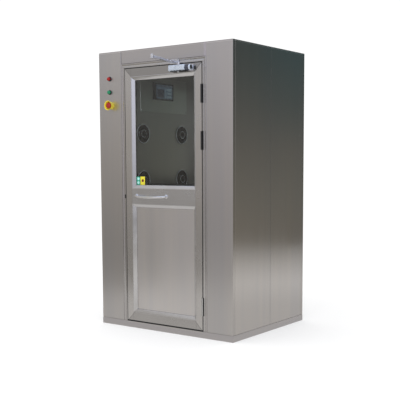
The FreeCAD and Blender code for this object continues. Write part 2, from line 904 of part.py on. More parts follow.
def touch_display():
    x0 = -inner_wall_x + cover_thickness
    x1 = x0 + display_depth
    y0 = display_centre_y - display_width / 2
    y1 = display_centre_y + display_width / 2
    z0 = display_bottom
    z1 = display_bottom + display_height
    body = box(x0, x1, y0, y1, z0, z1)
    edges = [e for e in body.Edges if e.BoundBox.XMin > x1 - near]
    body = body.makeChamfer(display_depth / 4, edges)
    screen = box(x1 - display_screen_recess, x1, y0 + display_border_y, y1 - display_border_z,
                 z0 + display_border_z, z1 - display_border_z)
    margin = display_back_margin
    back = box(x0 - display_back_depth, x0, y0 + margin, y1 - margin, z0 + margin, z1 - margin)
    return body.cut(screen).fuse(back).removeSplitter()


# Control box over the ceiling
def control_box():
    z0 = ceiling_height + sheet
    half = control_box_width / 2
    deep = control_box_depth / 2
    body = box(-half, half, -deep, deep, z0, z0 + control_box_height)
    edges = [e for e in body.Edges if e.BoundBox.ZLength > control_box_height / 2]
    body = body.makeFillet(control_box_bend, edges)
    roof = z0 + control_box_height - sheet
    inside = box(-half + sheet, half - sheet, -deep + sheet, deep - sheet, z0, roof)
    return body.cut(inside)


# Pilot lamps: a round bezel with its shank, and a domed lens
def pilot_lamp(z):
    centre = vec(lamps_x, front, z)
    out = vec(0, -1, 0)
    step = lamp_bezel_height / 4
    bezel = revolved([(0, -lamp_shank_length), (lamp_shank_radius, -lamp_shank_length),
                      (lamp_shank_radius, 0), (lamp_bezel_radius, 0),
                      (lamp_bezel_radius, lamp_bezel_height - step),
                      (lamp_bezel_radius - step, lamp_bezel_height), (0, lamp_bezel_height)], centre, out)
    base = centre + out * lamp_bezel_height
    rise = lamp_lens_height - lamp_bezel_height
    lens = rod(lamp_lens_radius, base, out, rise)
    rim = [e for e in lens.Edges if e.BoundBox.YMax < front - lamp_lens_height + near]
    return group([bezel, lens.makeFillet(lamp_lens_round, rim)])


# Emergency stop: a flared guard collar, a sliding stem and a mushroom head
def stop_collar():
    centre = vec(stop_x, front, stop_z)
    high = stop_collar_height
    wall = stop_collar_wall
    bore = stop_stem_radius + pin_clearance
    lip = high - stop_rim_round
    points = [(bore, 0), (stop_foot_radius, 0), (stop_waist_radius, stop_waist), (stop_rim_radius, lip),
              (stop_rim_radius - wall / 2, high), (stop_rim_radius - wall, lip),
              (stop_waist_radius - wall, stop_waist), (stop_foot_radius - wall, stop_floor),
              (bore, stop_floor)]
    return revolved(points, centre, vec(0, -1, 0))


def stop_stem():
    centre = vec(stop_x, front, stop_z)
    body = rod(stop_stem_radius, centre + vec(0, stop_stem_back, 0), vec(0, -1, 0),
               stop_stem_back + stop_head_bottom)
    spigot = rod(stop_spigot_radius, centre - vec(0, stop_head_bottom, 0), vec(0, -1, 0), stop_spigot_length)
    return body.fuse(spigot).removeSplitter()


def stop_head():
    centre = vec(stop_x, front, stop_z)
    base = stop_head_bottom + gasket_clearance
    radius = stop_head_radius
    high = base + stop_head_height
    shoulder = (radius + stop_head_top_radius) / 2
    head = revolved([(0, base), (stop_head_base_radius, base), (radius, base + stop_head_brim_low),
                     (radius, base + stop_head_brim_high), (shoulder, high - stop_head_shoulder),
                     (stop_head_top_radius, high), (0, high)], centre, vec(0, -1, 0))
    socket = rod(stop_spigot_radius + pin_clearance, centre - vec(0, base, 0), vec(0, -1, 0),
                 stop_spigot_length)
    grip = rod(stop_grip_radius, centre - vec(0, high, 0), vec(0, -1, 0), stop_grip_height)
    return head.cut(socket).fuse(grip).removeSplitter()


# Interlock: the holding magnet under the frame head and the contact in the frame's side
def door_lock_set():
    z1 = door_opening_top - stop_width
    y0 = leaf_back + armature_thickness + magnet_gap
    magnet = box(-magnet_length / 2, magnet_length / 2, y0, y0 + magnet_depth, z1 - magnet_height, z1)
    contact = box(-opening_half - contact_width, -opening_half + contact_reach, front - contact_stand,
                  front + contact_depth, contact_centre_z - contact_height / 2,
                  contact_centre_z + contact_height / 2)
    edges = [e for e in contact.Edges if e.BoundBox.YMax < front - contact_stand + near]
    return [magnet, contact.makeFillet(contact_edge, edges)]


def armature():
    """The steel plate on the leaf's back that the magnet holds."""
    z1 = door_opening_top - stop_width
    half = magnet_length / 2 - armature_margin
    return box(-half, half, leaf_back, leaf_back + armature_thickness,
               z1 - magnet_height + armature_margin, z1 - armature_margin)


def door_locks():
    pieces = door_lock_set()
    return group(pieces + [half_turn(p) for p in pieces])


# Butt hinges: five knuckles on one pin, with a plate on the frame and a plate on the leaf
def knuckle_spans(z, odd):
    pitch = knuckle_height + knuckle_gap
    start = z - hinge_length / 2
    return [start + pitch * i for i in range(knuckles) if i % 2 == odd]


def hinge_leaf(z, on_door):
    own = knuckle_spans(z, 1 if on_door else 0)
    other = knuckle_spans(z, 0 if on_door else 1)
    low = z - hinge_length / 2
    x0 = leaf_half if on_door else opening_half - hinge_plate
    plate = box(x0, x0 + hinge_plate, hinge_y, hinge_y + hinge_stand + hinge_plate_depth, low,
                low + hinge_length)
    for start in other:
        clear = rod(knuckle_radius + knuckle_gap, vec(hinge_x, hinge_y, start - knuckle_gap), vec(0, 0, 1),
                    knuckle_height + 2 * knuckle_gap)
        plate = plate.cut(clear)
    barrels = [rod(knuckle_radius, vec(hinge_x, hinge_y, start), vec(0, 0, 1), knuckle_height)
               for start in own]
    leaf = fused([plate] + barrels)
    bore = rod(pin_radius + pin_clearance, vec(hinge_x, hinge_y, low), vec(0, 0, 1), hinge_length)
    return leaf.cut(bore)


def hinge_pin(z):
    low = z - hinge_length / 2
    shaft = rod(pin_radius, vec(hinge_x, hinge_y, low), vec(0, 0, 1), hinge_length)
    caps = [rod(pin_cap_radius, vec(hinge_x, hinge_y, end), vec(0, 0, 1), pin_cap)
            for end in (low - pin_cap, low + hinge_length)]
    return fused([shaft] + caps)


def frame_hinges():
    pieces = []
    for z in hinge_heights:
        pieces += [hinge_leaf(z, False), hinge_pin(z)]
    return group(pieces + [half_turn(p) for p in pieces])


def door_hinges():
    return group([hinge_leaf(z, True) for z in hinge_heights])


# Door leaf: a hollow welded frame with a rebate round the window and the kick panel
def leaf_openings(grow):
    cuts = []
    for low, high in ((window_bottom, window_top), (kick_bottom, kick_top)):
        half = rebate_half + grow
        cuts.append(box(-half, half, front, pane_back + grow, low - grow, high + grow))
        lip = rebate_lip - grow
        cuts.append(box(-rebate_half + lip, rebate_half - lip, front, leaf_back, low + lip, high - lip))
    return cuts


def door_leaf():
    leaf = box(-leaf_half, leaf_half, front, leaf_back, leaf_bottom, leaf_top)
    cavity = box(-leaf_half + sheet, leaf_half - sheet, front + sheet, leaf_back - sheet,
                 leaf_bottom + sheet, leaf_top - sheet)
    for opening in leaf_openings(0):
        leaf = leaf.cut(opening)
    for opening in leaf_openings(sheet):
        cavity = cavity.cut(opening)
    middle = (front + leaf_back) / 2
    for x in (-rebate_half, 0, rebate_half):
        cavity = cavity.fuse(rod(drain_radius, vec(x, middle, leaf_bottom), vec(0, 0, 1), 2 * sheet))
    leaf = leaf.cut(cavity)
    for z in hinge_heights:
        reach = hinge_length / 2 + pin_cap + hinge_relief
        leaf = leaf.cut(rod(knuckle_radius + hinge_relief, vec(hinge_x, hinge_y, z - reach), vec(0, 0, 1),
                            2 * reach))
    return leaf


def bead_section():
    top = front - bead_stand
    seat = pane_front
    return [(0, seat), (0, top), (bead_flat, top), (bead_width - bead_flat, seat - 2 * bead_nose),
            (bead_width, seat - bead_nose), (bead_width, seat)]


def bead_set(low, high):
    """Four mitred strips round one opening, from a section of inward distance and depth."""
    rings = []
    for u, y in bead_section():
        rings.append([vec(-rebate_half + u, y, low + u), vec(rebate_half - u, y, low + u),
                      vec(rebate_half - u, y, high - u), vec(-rebate_half + u, y, high - u)])
    strips = []
    for i in range(4):
        strips.append(bar([ring[i] for ring in rings], [ring[(i + 1) % 4] for ring in rings]))
    return strips


def door_beads():
    return group(bead_set(window_bottom, window_top) + bead_set(kick_bottom, kick_top))


def pane(low, high):
    gap = pane_clearance
    return box(-rebate_half + gap, rebate_half - gap, pane_front, pane_back, low + gap, high - gap)


def kick_panel():
    """A sheet pan, folded back all round, in the lower opening."""
    panel = pane(kick_bottom, kick_top)
    rim = pane_clearance + sheet
    hollow = box(-rebate_half + rim, rebate_half - rim, pane_front + sheet, pane_back,
                 kick_bottom + rim, kick_top - rim)
    return panel.cut(hollow)


# Bow handle on the middle rail: flared feet, tight corners and a long flat arc
def bow_handle():
    turn = math.radians(handle_corner_turn)
    half = handle_span / 2
    corner = handle_corner_radius
    x1 = half - corner + corner * math.cos(turn)
    p1 = handle_stub + corner * math.sin(turn)
    bow_radius = x1 / math.cos(turn)
    bow_centre = p1 - bow_radius * math.sin(turn)
    pieces = []
    for side in (-1, 1):
        foot = vec(side * half, 0, 0)
        pieces.append(rod(handle_radius, foot, vec(0, -1, 0), handle_stub))
        ring = Part.Face(Part.Wire(Part.makeCircle(handle_radius, vec(side * half, -handle_stub, 0),
                                                   vec(0, 1, 0))))
        centre = vec(side * (half - corner), -handle_stub, 0)
        pieces.append(ring.revolve(centre, vec(0, 0, -side), handle_corner_turn))
    start = vec(x1, -p1, 0)
    tangent = vec(-math.sin(turn), -math.cos(turn), 0)
    ring = Part.Face(Part.Wire(Part.makeCircle(handle_radius, start, tangent)))
    pieces.append(ring.revolve(vec(0, -bow_centre, 0), vec(0, 0, -1), 180 - 2 * handle_corner_turn))
    bow = fused(pieces)
    bow.rotate(vec(0, 0, 0), vec(1, 0, 0), handle_droop)
    feet = []
    for side in (-1, 1):
        centre = vec(side * half, 0, 0)
        high = handle_foot_height
        flare = high + handle_flare_length
        feet.append(revolved([(0, 0), (handle_foot_radius, 0), (handle_foot_radius, high / 2),
                              (handle_foot_radius - high / 2, high), (handle_flare_radius, high),
                              (handle_radius, flare), (0, flare)], centre, vec(0, -1, 0)))
    back = box(-half - corner, half + corner, 0, corner, -corner, corner)
    handle = fused([bow.cut(back)] + feet)
    return moved(handle, handle_centre_x, front, handle_height)


# Door closer: a back plate, a cast body and the spring tube at its end
def door_closer():
    x0 = closer_left
    x1 = x0 + closer_length
    y1 = front - closer_plate
    y0 = y1 - closer_depth
    z0 = closer_bottom
    z1 = z0 + closer_height
    tube_start = x1 - closer_tube_length
    plate = box(x0 + closer_plate_lead, x1 + closer_plate_lead, y1, front,
                z0 - closer_plate_drop, z1 - closer_plate_set)
    body = box(x0, tube_start, y0, y1, z0, z1)
    edges = [e for e in body.Edges if e.BoundBox.YMax < y0 + near or
             (e.BoundBox.XMax < x0 + near and e.BoundBox.ZLength < near)]
    body = body.makeFillet(closer_corner, edges)
    radius = closer_height / 2 - closer_plate_set
    tube = rod(radius, vec(tube_start, y1 - radius, z0 + closer_height / 2), vec(1, 0, 0), closer_tube_length)
    rim = [e for e in tube.Edges if e.BoundBox.XMin > x1 - near]
    tube = tube.makeFillet(closer_end_round, rim)
    bore = rod(spindle_radius + pin_clearance, vec(spindle_x, spindle_y, z0), vec(0, 0, 1), closer_height)
    casting = body.fuse(tube).removeSplitter().cut(bore)
    return group([plate, casting])


def arm_between(start, end, level, width, low_start, low_end, thickness):
    """A cranked flat arm from start to end in plan: level at both ends, sloped between."""
    run = end - start
    length = math.hypot(run.x, run.y)
    slope_start = length - level
    profile = [(0, low_start), (slope_start - level, low_start), (slope_start, low_end), (length, low_end),
               (length, low_end + thickness), (slope_start, low_end + thickness),
               (slope_start - level, low_start + thickness), (0, low_start + thickness)]
    face = polygon([vec(s, -width / 2, z) for s, z in profile])
    arm = face.extrude(vec(0, width, 0))
    arm.rotate(vec(0, 0, 0), vec(0, 0, 1), math.degrees(math.atan2(run.y, run.x)))
    return moved(arm, start.x, start.y, 0)


# Main arm: keyed on the closer's spindle, above the leaf's top edge, cranked up to the elbow
def main_arm():
    start = vec(spindle_x, spindle_y, 0)
    end = vec(elbow_x, elbow_y, 0)
    hub_low = closer_bottom + closer_height + arm_gap
    blade_low = leaf_top + arm_over_leaf
    hub_high = blade_low + arm_thickness + arm_hub_crown
    eye_low = elbow_height - elbow_gap - elbow_eye_height
    blade = arm_between(start, end, rod_level_length / 2, arm_width, blade_low,
                        eye_low + elbow_blade_lift, arm_thickness)
    hub = rod(arm_hub_radius, start + vec(0, 0, hub_low), vec(0, 0, 1), hub_high - hub_low)
    eye = rod(elbow_eye_radius, end + vec(0, 0, eye_low), vec(0, 0, 1), elbow_eye_height)
    arm = fused([blade, hub, eye])
    arm = arm.cut(rod(spindle_radius, start + vec(0, 0, hub_low), vec(0, 0, 1), hub_high - hub_low))
    spindle_low = closer_bottom - spindle_cap
    spindle = rod(spindle_radius, start + vec(0, 0, spindle_low), vec(0, 0, 1), hub_high - spindle_low)
    return group([arm, spindle])


# Forearm: a rod from the elbow to the shoe, with a round eye at both ends
def forearm():
    start = vec(shoe_pivot_x, shoe_y, 0)
    end = vec(elbow_x, elbow_y, 0)
    run = vec(end.x - start.x, end.y - start.y, 0)
    length = run.Length
    run.normalize()
    eye_height = elbow_eye_height
    rod_high = elbow_height + eye_height / 2
    rod_low = shoe_eye_bottom + eye_height / 2
    knee = start + run * (length - rod_level_length)
    high_knee = vec(knee.x, knee.y, rod_high)
    low_start = vec(start.x, start.y, rod_low)
    slope = high_knee - low_start
    rod_piece = rod(rod_radius, low_start, slope, slope.Length)
    level = rod(rod_radius, high_knee, run, rod_level_length)
    ball = Part.makeSphere(rod_radius, high_knee)
    elbow_eye = rod(elbow_eye_radius, end + vec(0, 0, elbow_height), vec(0, 0, 1), eye_height)
    head = rod(elbow_head_radius, end + vec(0, 0, elbow_height + eye_height), vec(0, 0, 1), elbow_head_height)
    shoe_eye = rod(shoe_eye_radius, start + vec(0, 0, shoe_eye_bottom), vec(0, 0, 1), eye_height)
    nut_start = low_start + slope * (rod_nut_place / length)
    nut = rod(rod_nut_radius, nut_start, slope, rod_nut_length)
    piece = fused([rod_piece, level, ball, elbow_eye, head, shoe_eye, nut])
    bore = rod(shoe_pin_radius + pin_clearance, start + vec(0, 0, shoe_eye_bottom), vec(0, 0, 1), eye_height)
    return piece.cut(bore)


# Closer shoe: a plate on the frame head with two ears and the pivot pin
def closer_shoe():
    x0 = shoe_pivot_x - shoe_lead
    y1 = front
    y0 = front - shoe_plate_thickness
    plate = box(x0, x0 + shoe_plate_length, y0, y1, shoe_plate_bottom, shoe_plate_bottom + shoe_plate_height)
    edges = [e for e in plate.Edges if e.BoundBox.YLength > shoe_plate_thickness / 2]
    plate = plate.makeFillet(shoe_plate_corner, edges)
    ears = []
    low_ear = shoe_eye_bottom - shoe_ear_gap - shoe_ear_thickness
    high_ear = shoe_eye_bottom + elbow_eye_height + shoe_ear_gap
    for z in (low_ear, high_ear):
        ear = box(shoe_pivot_x - shoe_ear_radius, shoe_pivot_x + shoe_ear_radius, shoe_y, y0, z,
                  z + shoe_ear_thickness)
        tip = rod(shoe_ear_radius, vec(shoe_pivot_x, shoe_y, z), vec(0, 0, 1), shoe_ear_thickness)
        ears.append(ear.fuse(tip))
    pin = rod(shoe_pin_radius, vec(shoe_pivot_x, shoe_y, low_ear), vec(0, 0, 1),
              high_ear + shoe_ear_thickness - low_ear)
    return fused([plate, pin] + ears)


# Cable gland for the supply, through the rear header
def cable_gland():
    centre = vec(-gland_x, front, gland_z)
    out = vec(0, -1, 0)
    flange = rod(gland_flange_radius, centre, out, gland_flange_height)
    base = centre + out * gland_flange_height
    corners = []
    for i in range(gland_flats):
        angle = math.radians(360 / gland_flats * i)
        corners.append(base + vec(gland_hex_radius * math.cos(angle), 0, gland_hex_radius * math.sin(angle)))
    nut = polygon(corners).extrude(out * gland_nut_height)
    shank = rod(gland_shank_radius, centre - out * gland_shank_length, out, gland_shank_length)
    body = fused([flange, nut, shank])
    length = gland_shank_length + gland_flange_height + gland_nut_height
    return body.cut(rod(gland_bore_radius, centre - out * gland_shank_length, out, length))


def door_pieces():
    return {
        "door_leaf": group([door_leaf(), armature()]),
        "door_beads": door_beads(),
        "window_glass": pane(window_bottom, window_top),
        "kick_panel": kick_panel(),
        "pull_handle": bow_handle(),
        "door_hinges": door_hinges(),
        "closer_body": door_closer(),
        "closer_main_arm": main_arm(),
        "closer_forearm": forearm(),
    }


def all_pieces():
    gasket = door_gasket()
    shoe = closer_shoe()
    blower = {"housing": blower_housing(), "motor": blower_motor(), "wheel": blower_wheel()}
    filters = [prefilter(), mirrored(hepa_filter())]
    grille = return_grille()
    ring = nozzle_ring()
    ball = nozzle_ball()
    pieces = {
        "base_frame": base_frame(),
        "floor_plate": floor_plate(),
        "corner_pillars": corner_pillars(),
        "headers": headers(),
        "door_frames": door_frames(),
        "door_gaskets": group([gasket, half_turn(gasket)]),
        "side_panels": side_panels(),
        "roof_panel": roof_panel(),
        "inner_walls": inner_walls(),
        "ceiling_panel": ceiling_panel(),
        "ceiling_lights": group([ceiling_light(x) for x in (-light_x, light_x)]),
        "nozzle_rings": group([on_wall(ring, wall, y, z) for wall, row, column, y, z in nozzle_places()]),
        "return_grilles": group([grille, mirrored(grille)]),
        "blower_housings": group([blower["housing"], mirrored(blower["housing"])]),
        "blower_motors": group([blower["motor"], mirrored(blower["motor"])]),
        "right_blower_wheel": blower["wheel"],
        "left_blower_wheel": mirrored(blower["wheel"]),
        "air_filters": group(filters + [mirrored(f) for f in filters]),
        "control_cover": control_cover(),
        "touch_display": touch_display(),
        "control_box": control_box(),
        "red_lamp": pilot_lamp(red_lamp_z),
        "green_lamp": pilot_lamp(green_lamp_z),
        "stop_collar": stop_collar(),
        "stop_stem": stop_stem(),
        "stop_head": stop_head(),
        "door_locks": door_locks(),
        "frame_hinges": frame_hinges(),
        "closer_shoes": group([shoe, half_turn(shoe)]),
        "cable_gland": half_turn(cable_gland()),
    }
    for wall, row, column, y, z in nozzle_places():
        pieces["nozzle_ball_" + wall + "_" + row + "_" + column] = on_wall(ball, wall, y, z)
    for name, shape in door_pieces().items():
        pieces["entry_" + name] = shape
        pieces["exit_" + name] = half_turn(shape)
    return pieces


os.makedirs("parts", exist_ok=True)
for piece_name, piece_shape in all_pieces().items():
    piece_shape.exportStep("parts/" + piece_name + ".step")
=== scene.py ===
import math

import bpy
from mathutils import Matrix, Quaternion, Vector


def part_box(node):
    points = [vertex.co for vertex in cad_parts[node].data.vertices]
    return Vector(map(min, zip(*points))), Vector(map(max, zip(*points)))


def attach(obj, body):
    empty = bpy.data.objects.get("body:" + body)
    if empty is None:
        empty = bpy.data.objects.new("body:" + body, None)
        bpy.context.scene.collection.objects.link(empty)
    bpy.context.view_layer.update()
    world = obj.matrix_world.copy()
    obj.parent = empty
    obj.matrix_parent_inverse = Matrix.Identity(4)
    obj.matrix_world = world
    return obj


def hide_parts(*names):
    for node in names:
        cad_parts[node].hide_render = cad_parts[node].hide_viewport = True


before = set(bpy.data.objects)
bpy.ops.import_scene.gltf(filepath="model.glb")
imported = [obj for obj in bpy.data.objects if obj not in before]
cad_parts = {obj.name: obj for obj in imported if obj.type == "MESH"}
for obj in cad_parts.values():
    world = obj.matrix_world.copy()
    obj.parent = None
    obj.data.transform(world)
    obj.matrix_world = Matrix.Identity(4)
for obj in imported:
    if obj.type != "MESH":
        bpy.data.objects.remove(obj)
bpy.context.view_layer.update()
bpy.ops.object.select_all(action="DESELECT")


# Outer panels: folded stainless sheet, 2 mm thick, brushed upright and left bare.
# The corner pillars and the side panels are clipped to the frame with no screw in sight.
def add_node(tree, kind, inputs, **settings):
    """A shader node with its inputs set, or linked where the value is another node's output."""
    made = tree.nodes.new("ShaderNode" + kind)
    for key, value in settings.items():
        setattr(made, key, value)
    for key, value in inputs.items():
        if isinstance(value, bpy.types.NodeSocket):
            tree.links.new(value, made.inputs[key])
        else:
            made.inputs[key].default_value = value
    return made


def new_material(name, metallic, roughness, colour):
    material = bpy.data.materials.new(name)
    material.use_nodes = True
    shader = material.node_tree.nodes["Principled BSDF"]
    shader.inputs["Metallic"].default_value = metallic
    shader.inputs["Roughness"].default_value = roughness
    shader.inputs["Base Color"].default_value = (*colour, 1)
    return material, material.node_tree, shader


def noise_field(tree, scale, detail, output="Fac"):
    """Noise over the piece's own coordinates, with a scale per metre along each axis."""
    place = add_node(tree, "TexCoord", {})
    spread = add_node(tree, "Mapping", {"Vector": place.outputs["Object"], "Scale": scale})
    noise = add_node(tree, "TexNoise", {"Vector": spread.outputs["Vector"], "Scale": 1.0, "Detail": detail})
    return noise.outputs[output]


def maths(tree, operation, first, second=0.0):
    return add_node(tree, "Math", {0: first, 1: second}, operation=operation).outputs[0]


def spread_over(tree, value, low, high, start=0.3, end=0.7):
    made = add_node(tree, "MapRange", {"Value": value, "From Min": start, "From Max": end,
                                       "To Min": low, "To Max": high})
    return made.outputs["Result"]


def ramp(tree, value, low, high, start=0.3, end=0.7):
    made = add_node(tree, "ValToRGB", {"Fac": value})
    made.color_ramp.elements[0].position = start
    made.color_ramp.elements[1].position = end
    made.color_ramp.elements[0].color = (*low, 1)
    made.color_ramp.elements[1].color = (*high, 1)
    return made.outputs["Color"]


def shade(colour, share):
    return tuple(channel * share for channel in colour)


def scaled(tree, value, share):
    """A colour or a vector times one number."""
    return add_node(tree, "VectorMath", {0: value, "Scale": share}, operation="SCALE").outputs[0]


def slight_sway(tree, amount, scale):
    """The sheet's normal, leaning a little this way and that as thin sheet does between its folds."""
    face = add_node(tree, "NewGeometry", {})
    lean = noise_field(tree, (scale, scale, scale), 0.0, "Color")
    about = add_node(tree, "VectorMath", {0: lean, 1: (0.5, 0.5, 0.5)}, operation="SUBTRACT")
    share = scaled(tree, about.outputs[0], amount)
    added = add_node(tree, "VectorMath", {0: face.outputs["Normal"], 1: share}, operation="ADD")
    return add_node(tree, "VectorMath", {0: added.outputs[0]}, operation="NORMALIZE").outputs[0]


def brushed(name, tint, grain, across, smooth=0.24, rough=0.32, sway=0.01, sway_scale=1.6,
            side_shade_share=1.0, side_gloss=1.0, hem_highlight_share=1.0):
    """Brushed stainless sheet: fine scratches and wider bands that run one way, so the gloss spreads
    across them. The faces that look sideways can be toned as painted shade, and the folded top hem lightened as
    a painted highlight."""
    material, tree, shader = new_material(name, 1.0, rough, tint)
    scratch = noise_field(tree, grain, 3.0)
    band = noise_field(tree, [g * 0.02 + 0.25 for g in grain], 2.0)
    both = maths(tree, "ADD", maths(tree, "MULTIPLY", scratch, 0.3), maths(tree, "MULTIPLY", band, 0.7))
    cool = (tint[0] * 0.96, tint[1] * 0.965, tint[2] * 0.985)
    warm = (tint[0] * 1.04, tint[1] * 1.025, tint[2] * 1.01)
    face = add_node(tree, "NewGeometry", {})
    facing = add_node(tree, "SeparateXYZ", {"Vector": face.outputs["Normal"]})
    on_side = maths(tree, "GREATER_THAN", maths(tree, "ABSOLUTE", facing.outputs["X"]), 0.5)
    spot = add_node(tree, "SeparateXYZ", {"Vector": add_node(tree, "TexCoord", {}).outputs["Object"]})
    # Painted highlight: the sheet above the hem height is lighter. Painted shade: faces looking sideways are
    # toned apart.
    hem_highlight_mask = maths(tree, "GREATER_THAN", spot.outputs["Z"], hem_height)
    share = maths(tree, "MULTIPLY", spread_over(tree, on_side, 1.0, side_shade_share, 0.0, 1.0),
                  spread_over(tree, hem_highlight_mask, 1.0, hem_highlight_share, 0.0, 1.0))
    tree.links.new(scaled(tree, ramp(tree, both, cool, warm, 0.36, 0.64), share), shader.inputs["Base Color"])
    haze = noise_field(tree, [g * 0.01 + 0.5 for g in grain], 2.0)
    gloss = maths(tree, "MULTIPLY", spread_over(tree, haze, smooth, rough),
                  spread_over(tree, on_side, 1.0, side_gloss, 0.0, 1.0))
    tree.links.new(gloss, shader.inputs["Roughness"])
    shader.inputs["Anisotropic"].default_value = 0.6
    over = add_node(tree, "CombineXYZ", {"X": across[0], "Y": across[1], "Z": across[2]})
    tree.links.new(over.outputs[0], shader.inputs["Tangent"])
    cut = add_node(tree, "Bump", {"Height": scratch, "Strength": 0.05, "Distance": 0.0004,
                                  "Normal": slight_sway(tree, sway, sway_scale)})
    tree.links.new(cut.outputs["Normal"], shader.inputs["Normal"])
    return material


def dress(material, *names):
    for name in names:
        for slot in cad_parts[name].material_slots:
            slot.material = material


hem_height = 2.0985
steel_tint = (0.60, 0.583, 0.568)
upright = (420.0, 420.0, 2.0)
level = (2.0, 2.0, 420.0)
sideways = (0.7, 0.7, 0.0)
upward = (0.0, 0.6, 0.8)
# The pillars' sideways faces are a little darker as painted shade, and the top hems of the three sheets lighter
# as a painted highlight.
outer_steel = brushed("outer_steel", steel_tint, upright, sideways, smooth=0.30, rough=0.37,
                      side_shade_share=0.92, side_gloss=0.5, hem_highlight_share=1.2)
side_steel = brushed("side_steel", shade(steel_tint, 0.99), upright, sideways, smooth=0.15, rough=0.20,
                     sway=0.02, sway_scale=1.1, hem_highlight_share=1.5)
header_steel = brushed("header_steel", (0.580, 0.562, 0.565), level, upward, smooth=0.26, rough=0.34,
                       hem_highlight_share=1.12)
dress(outer_steel, "corner_pillars")
dress(side_steel, "side_panels")
dress(header_steel, "headers", "base_frame", "roof_panel")


# Joint sealant: grey silicone drawn into the seams between the sheets and smoothed flush.
def block(low, high, bevel, segments=2):
    """A bar between two corners with its edges rounded."""
    middle = [(a + b) / 2 for a, b in zip(low, high)]
    bpy.ops.mesh.primitive_cube_add(size=1, location=middle)
    piece = bpy.context.object
    piece.scale = [b - a for a, b in zip(low, high)]
    bpy.ops.object.transform_apply(location=True, rotation=True, scale=True)
    edge = piece.modifiers.new("edge", "BEVEL")
    edge.width = bevel
    edge.segments = segments
    bpy.ops.object.modifier_apply(modifier=edge.name)
    return piece


def joined(pieces):
    """The pieces as one object, selected alone."""
    bpy.ops.object.select_all(action="DESELECT")
    for piece in pieces:
        piece.select_set(True)
    bpy.context.view_layer.objects.active = pieces[0]
    if len(pieces) > 1:
        bpy.ops.object.join()
    return pieces[0]


def fit(piece, name, material, slot, body, *replaced):
    """Finishes a piece where it stands, dresses it and hangs it on its body."""
    piece.name = name
    piece.data.name = name
    joined([piece])
    bpy.ops.object.transform_apply(location=True, rotation=True, scale=True)
    bpy.ops.object.mode_set(mode="EDIT")
    bpy.ops.mesh.select_all(action="SELECT")
    bpy.ops.mesh.remove_doubles(threshold=0.000005)
    bpy.ops.mesh.normals_make_consistent(inside=False)
    bpy.ops.object.mode_set(mode="OBJECT")
    bpy.ops.object.shade_smooth_by_angle(angle=math.radians(32))
    piece.data.materials.clear()
    piece.data.materials.append(material)
    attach(piece, body)
    if replaced:
        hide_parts(*replaced)


def fit_both_ends(piece, name, material, slot, body="cabinet", *replaced):
    """The piece at the entry, and the same one turned half round for the exit."""
    joined([piece])
    bpy.ops.object.transform_apply(location=True, rotation=True, scale=True)
    twin = piece.copy()
    twin.data = piece.data.copy()
    bpy.context.collection.objects.link(twin)
    twin.rotation_euler = (0, 0, math.pi)
    for end, made in (("entry_", piece), ("exit_", twin)):
        rides_on = body if body == "cabinet" else end + body
        fit(made, end + name, material, slot, rides_on, *[end + node for node in replaced])


def moulded(name, colour, roughness, grain=0.0003, coat=0.0, uneven=0.86):
    """Moulded plastic, rubber or paint: a fine eggshell grain and slightly uneven colour."""
    material, tree, shader = new_material(name, 0.0, roughness, colour)
    shader.inputs["Coat Weight"].default_value = coat
    shader.inputs["Coat Roughness"].default_value = 0.08
    cloud = noise_field(tree, (30.0, 30.0, 30.0), 4.0)
    tree.links.new(ramp(tree, cloud, shade(colour, uneven), colour), shader.inputs["Base Color"])
    speck = noise_field(tree, (900.0, 900.0, 900.0), 2.0)
    bump = add_node(tree, "Bump", {"Height": speck, "Strength": 0.15, "Distance": grain})
    tree.links.new(bump.outputs["Normal"], shader.inputs["Normal"])
    return material


sealant_grey = moulded("sealant_grey", (0.035, 0.034, 0.033), 0.6)
panel_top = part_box("side_panels")[1].z
panel_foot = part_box("side_panels")[0].z
sealant = []
for side in (-1, 1):
    for seam_y, half, rise in ((0.0, 0.0030, 0.62485), (-0.4695, 0.0020, 0.62440), (0.4695, 0.0020, 0.62440)):
        near_x, far_x = sorted((side * 0.6190, side * rise))
        sealant.append(block((near_x, seam_y - half, panel_foot + 0.0005),
                             (far_x, seam_y + half, panel_top), 0.0003))
fit(joined(sealant), "seam_sealant", sealant_grey, "black_rubber", "cabinet")


# Door frame and sill: the same sheet folded to a hollow profile with a groove along its face,
# mitred and welded at the top corners, with the welds ground off.
frame_steel = brushed("frame_steel", shade(steel_tint, 0.98), upright, sideways, smooth=0.2, rough=0.3,
                      sway=0.004)
dress(frame_steel, "door_frames")

# Door seal: black rubber, a lip on the frame's edge and a web in the gap round the leaf, narrower on
# the lock side. It stops at the hinge pockets and at the contact. A sweep closes the leaf's foot.
rubber = moulded("seal_rubber", (0.012, 0.012, 0.013), 0.75, grain=0.0006)
frame_edge = 0.362
frame_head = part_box("entry_door_leaf")[1].z + 0.003
sill_top = 0.050
lip_out = 0.0042
lock_lip_out = 0.0014
lip_face = -0.5009
lip_back = -0.50005
web = 0.0014
lock_web = 0.0026
web_back = -0.4945
seal_round = 0.0003
hinge_spans = ((0.1638, 0.2962), (1.3598, 1.4922), (1.6898, 1.8222))
contact_span = (0.9965, 1.0295)


def seal_length(side, low, high, outward, inward):
    """An upright length of the seal: its lip on the frame's face and its web in the gap."""
    lip = sorted((side * (frame_edge - inward), side * (frame_edge + outward)))
    inner = sorted((side * (frame_edge - inward), side * (frame_edge - 0.0001)))
    return [block((lip[0], lip_face, low), (lip[1], lip_back, high), seal_round),
            block((inner[0], lip_face, low), (inner[1], web_back, high), seal_round)]


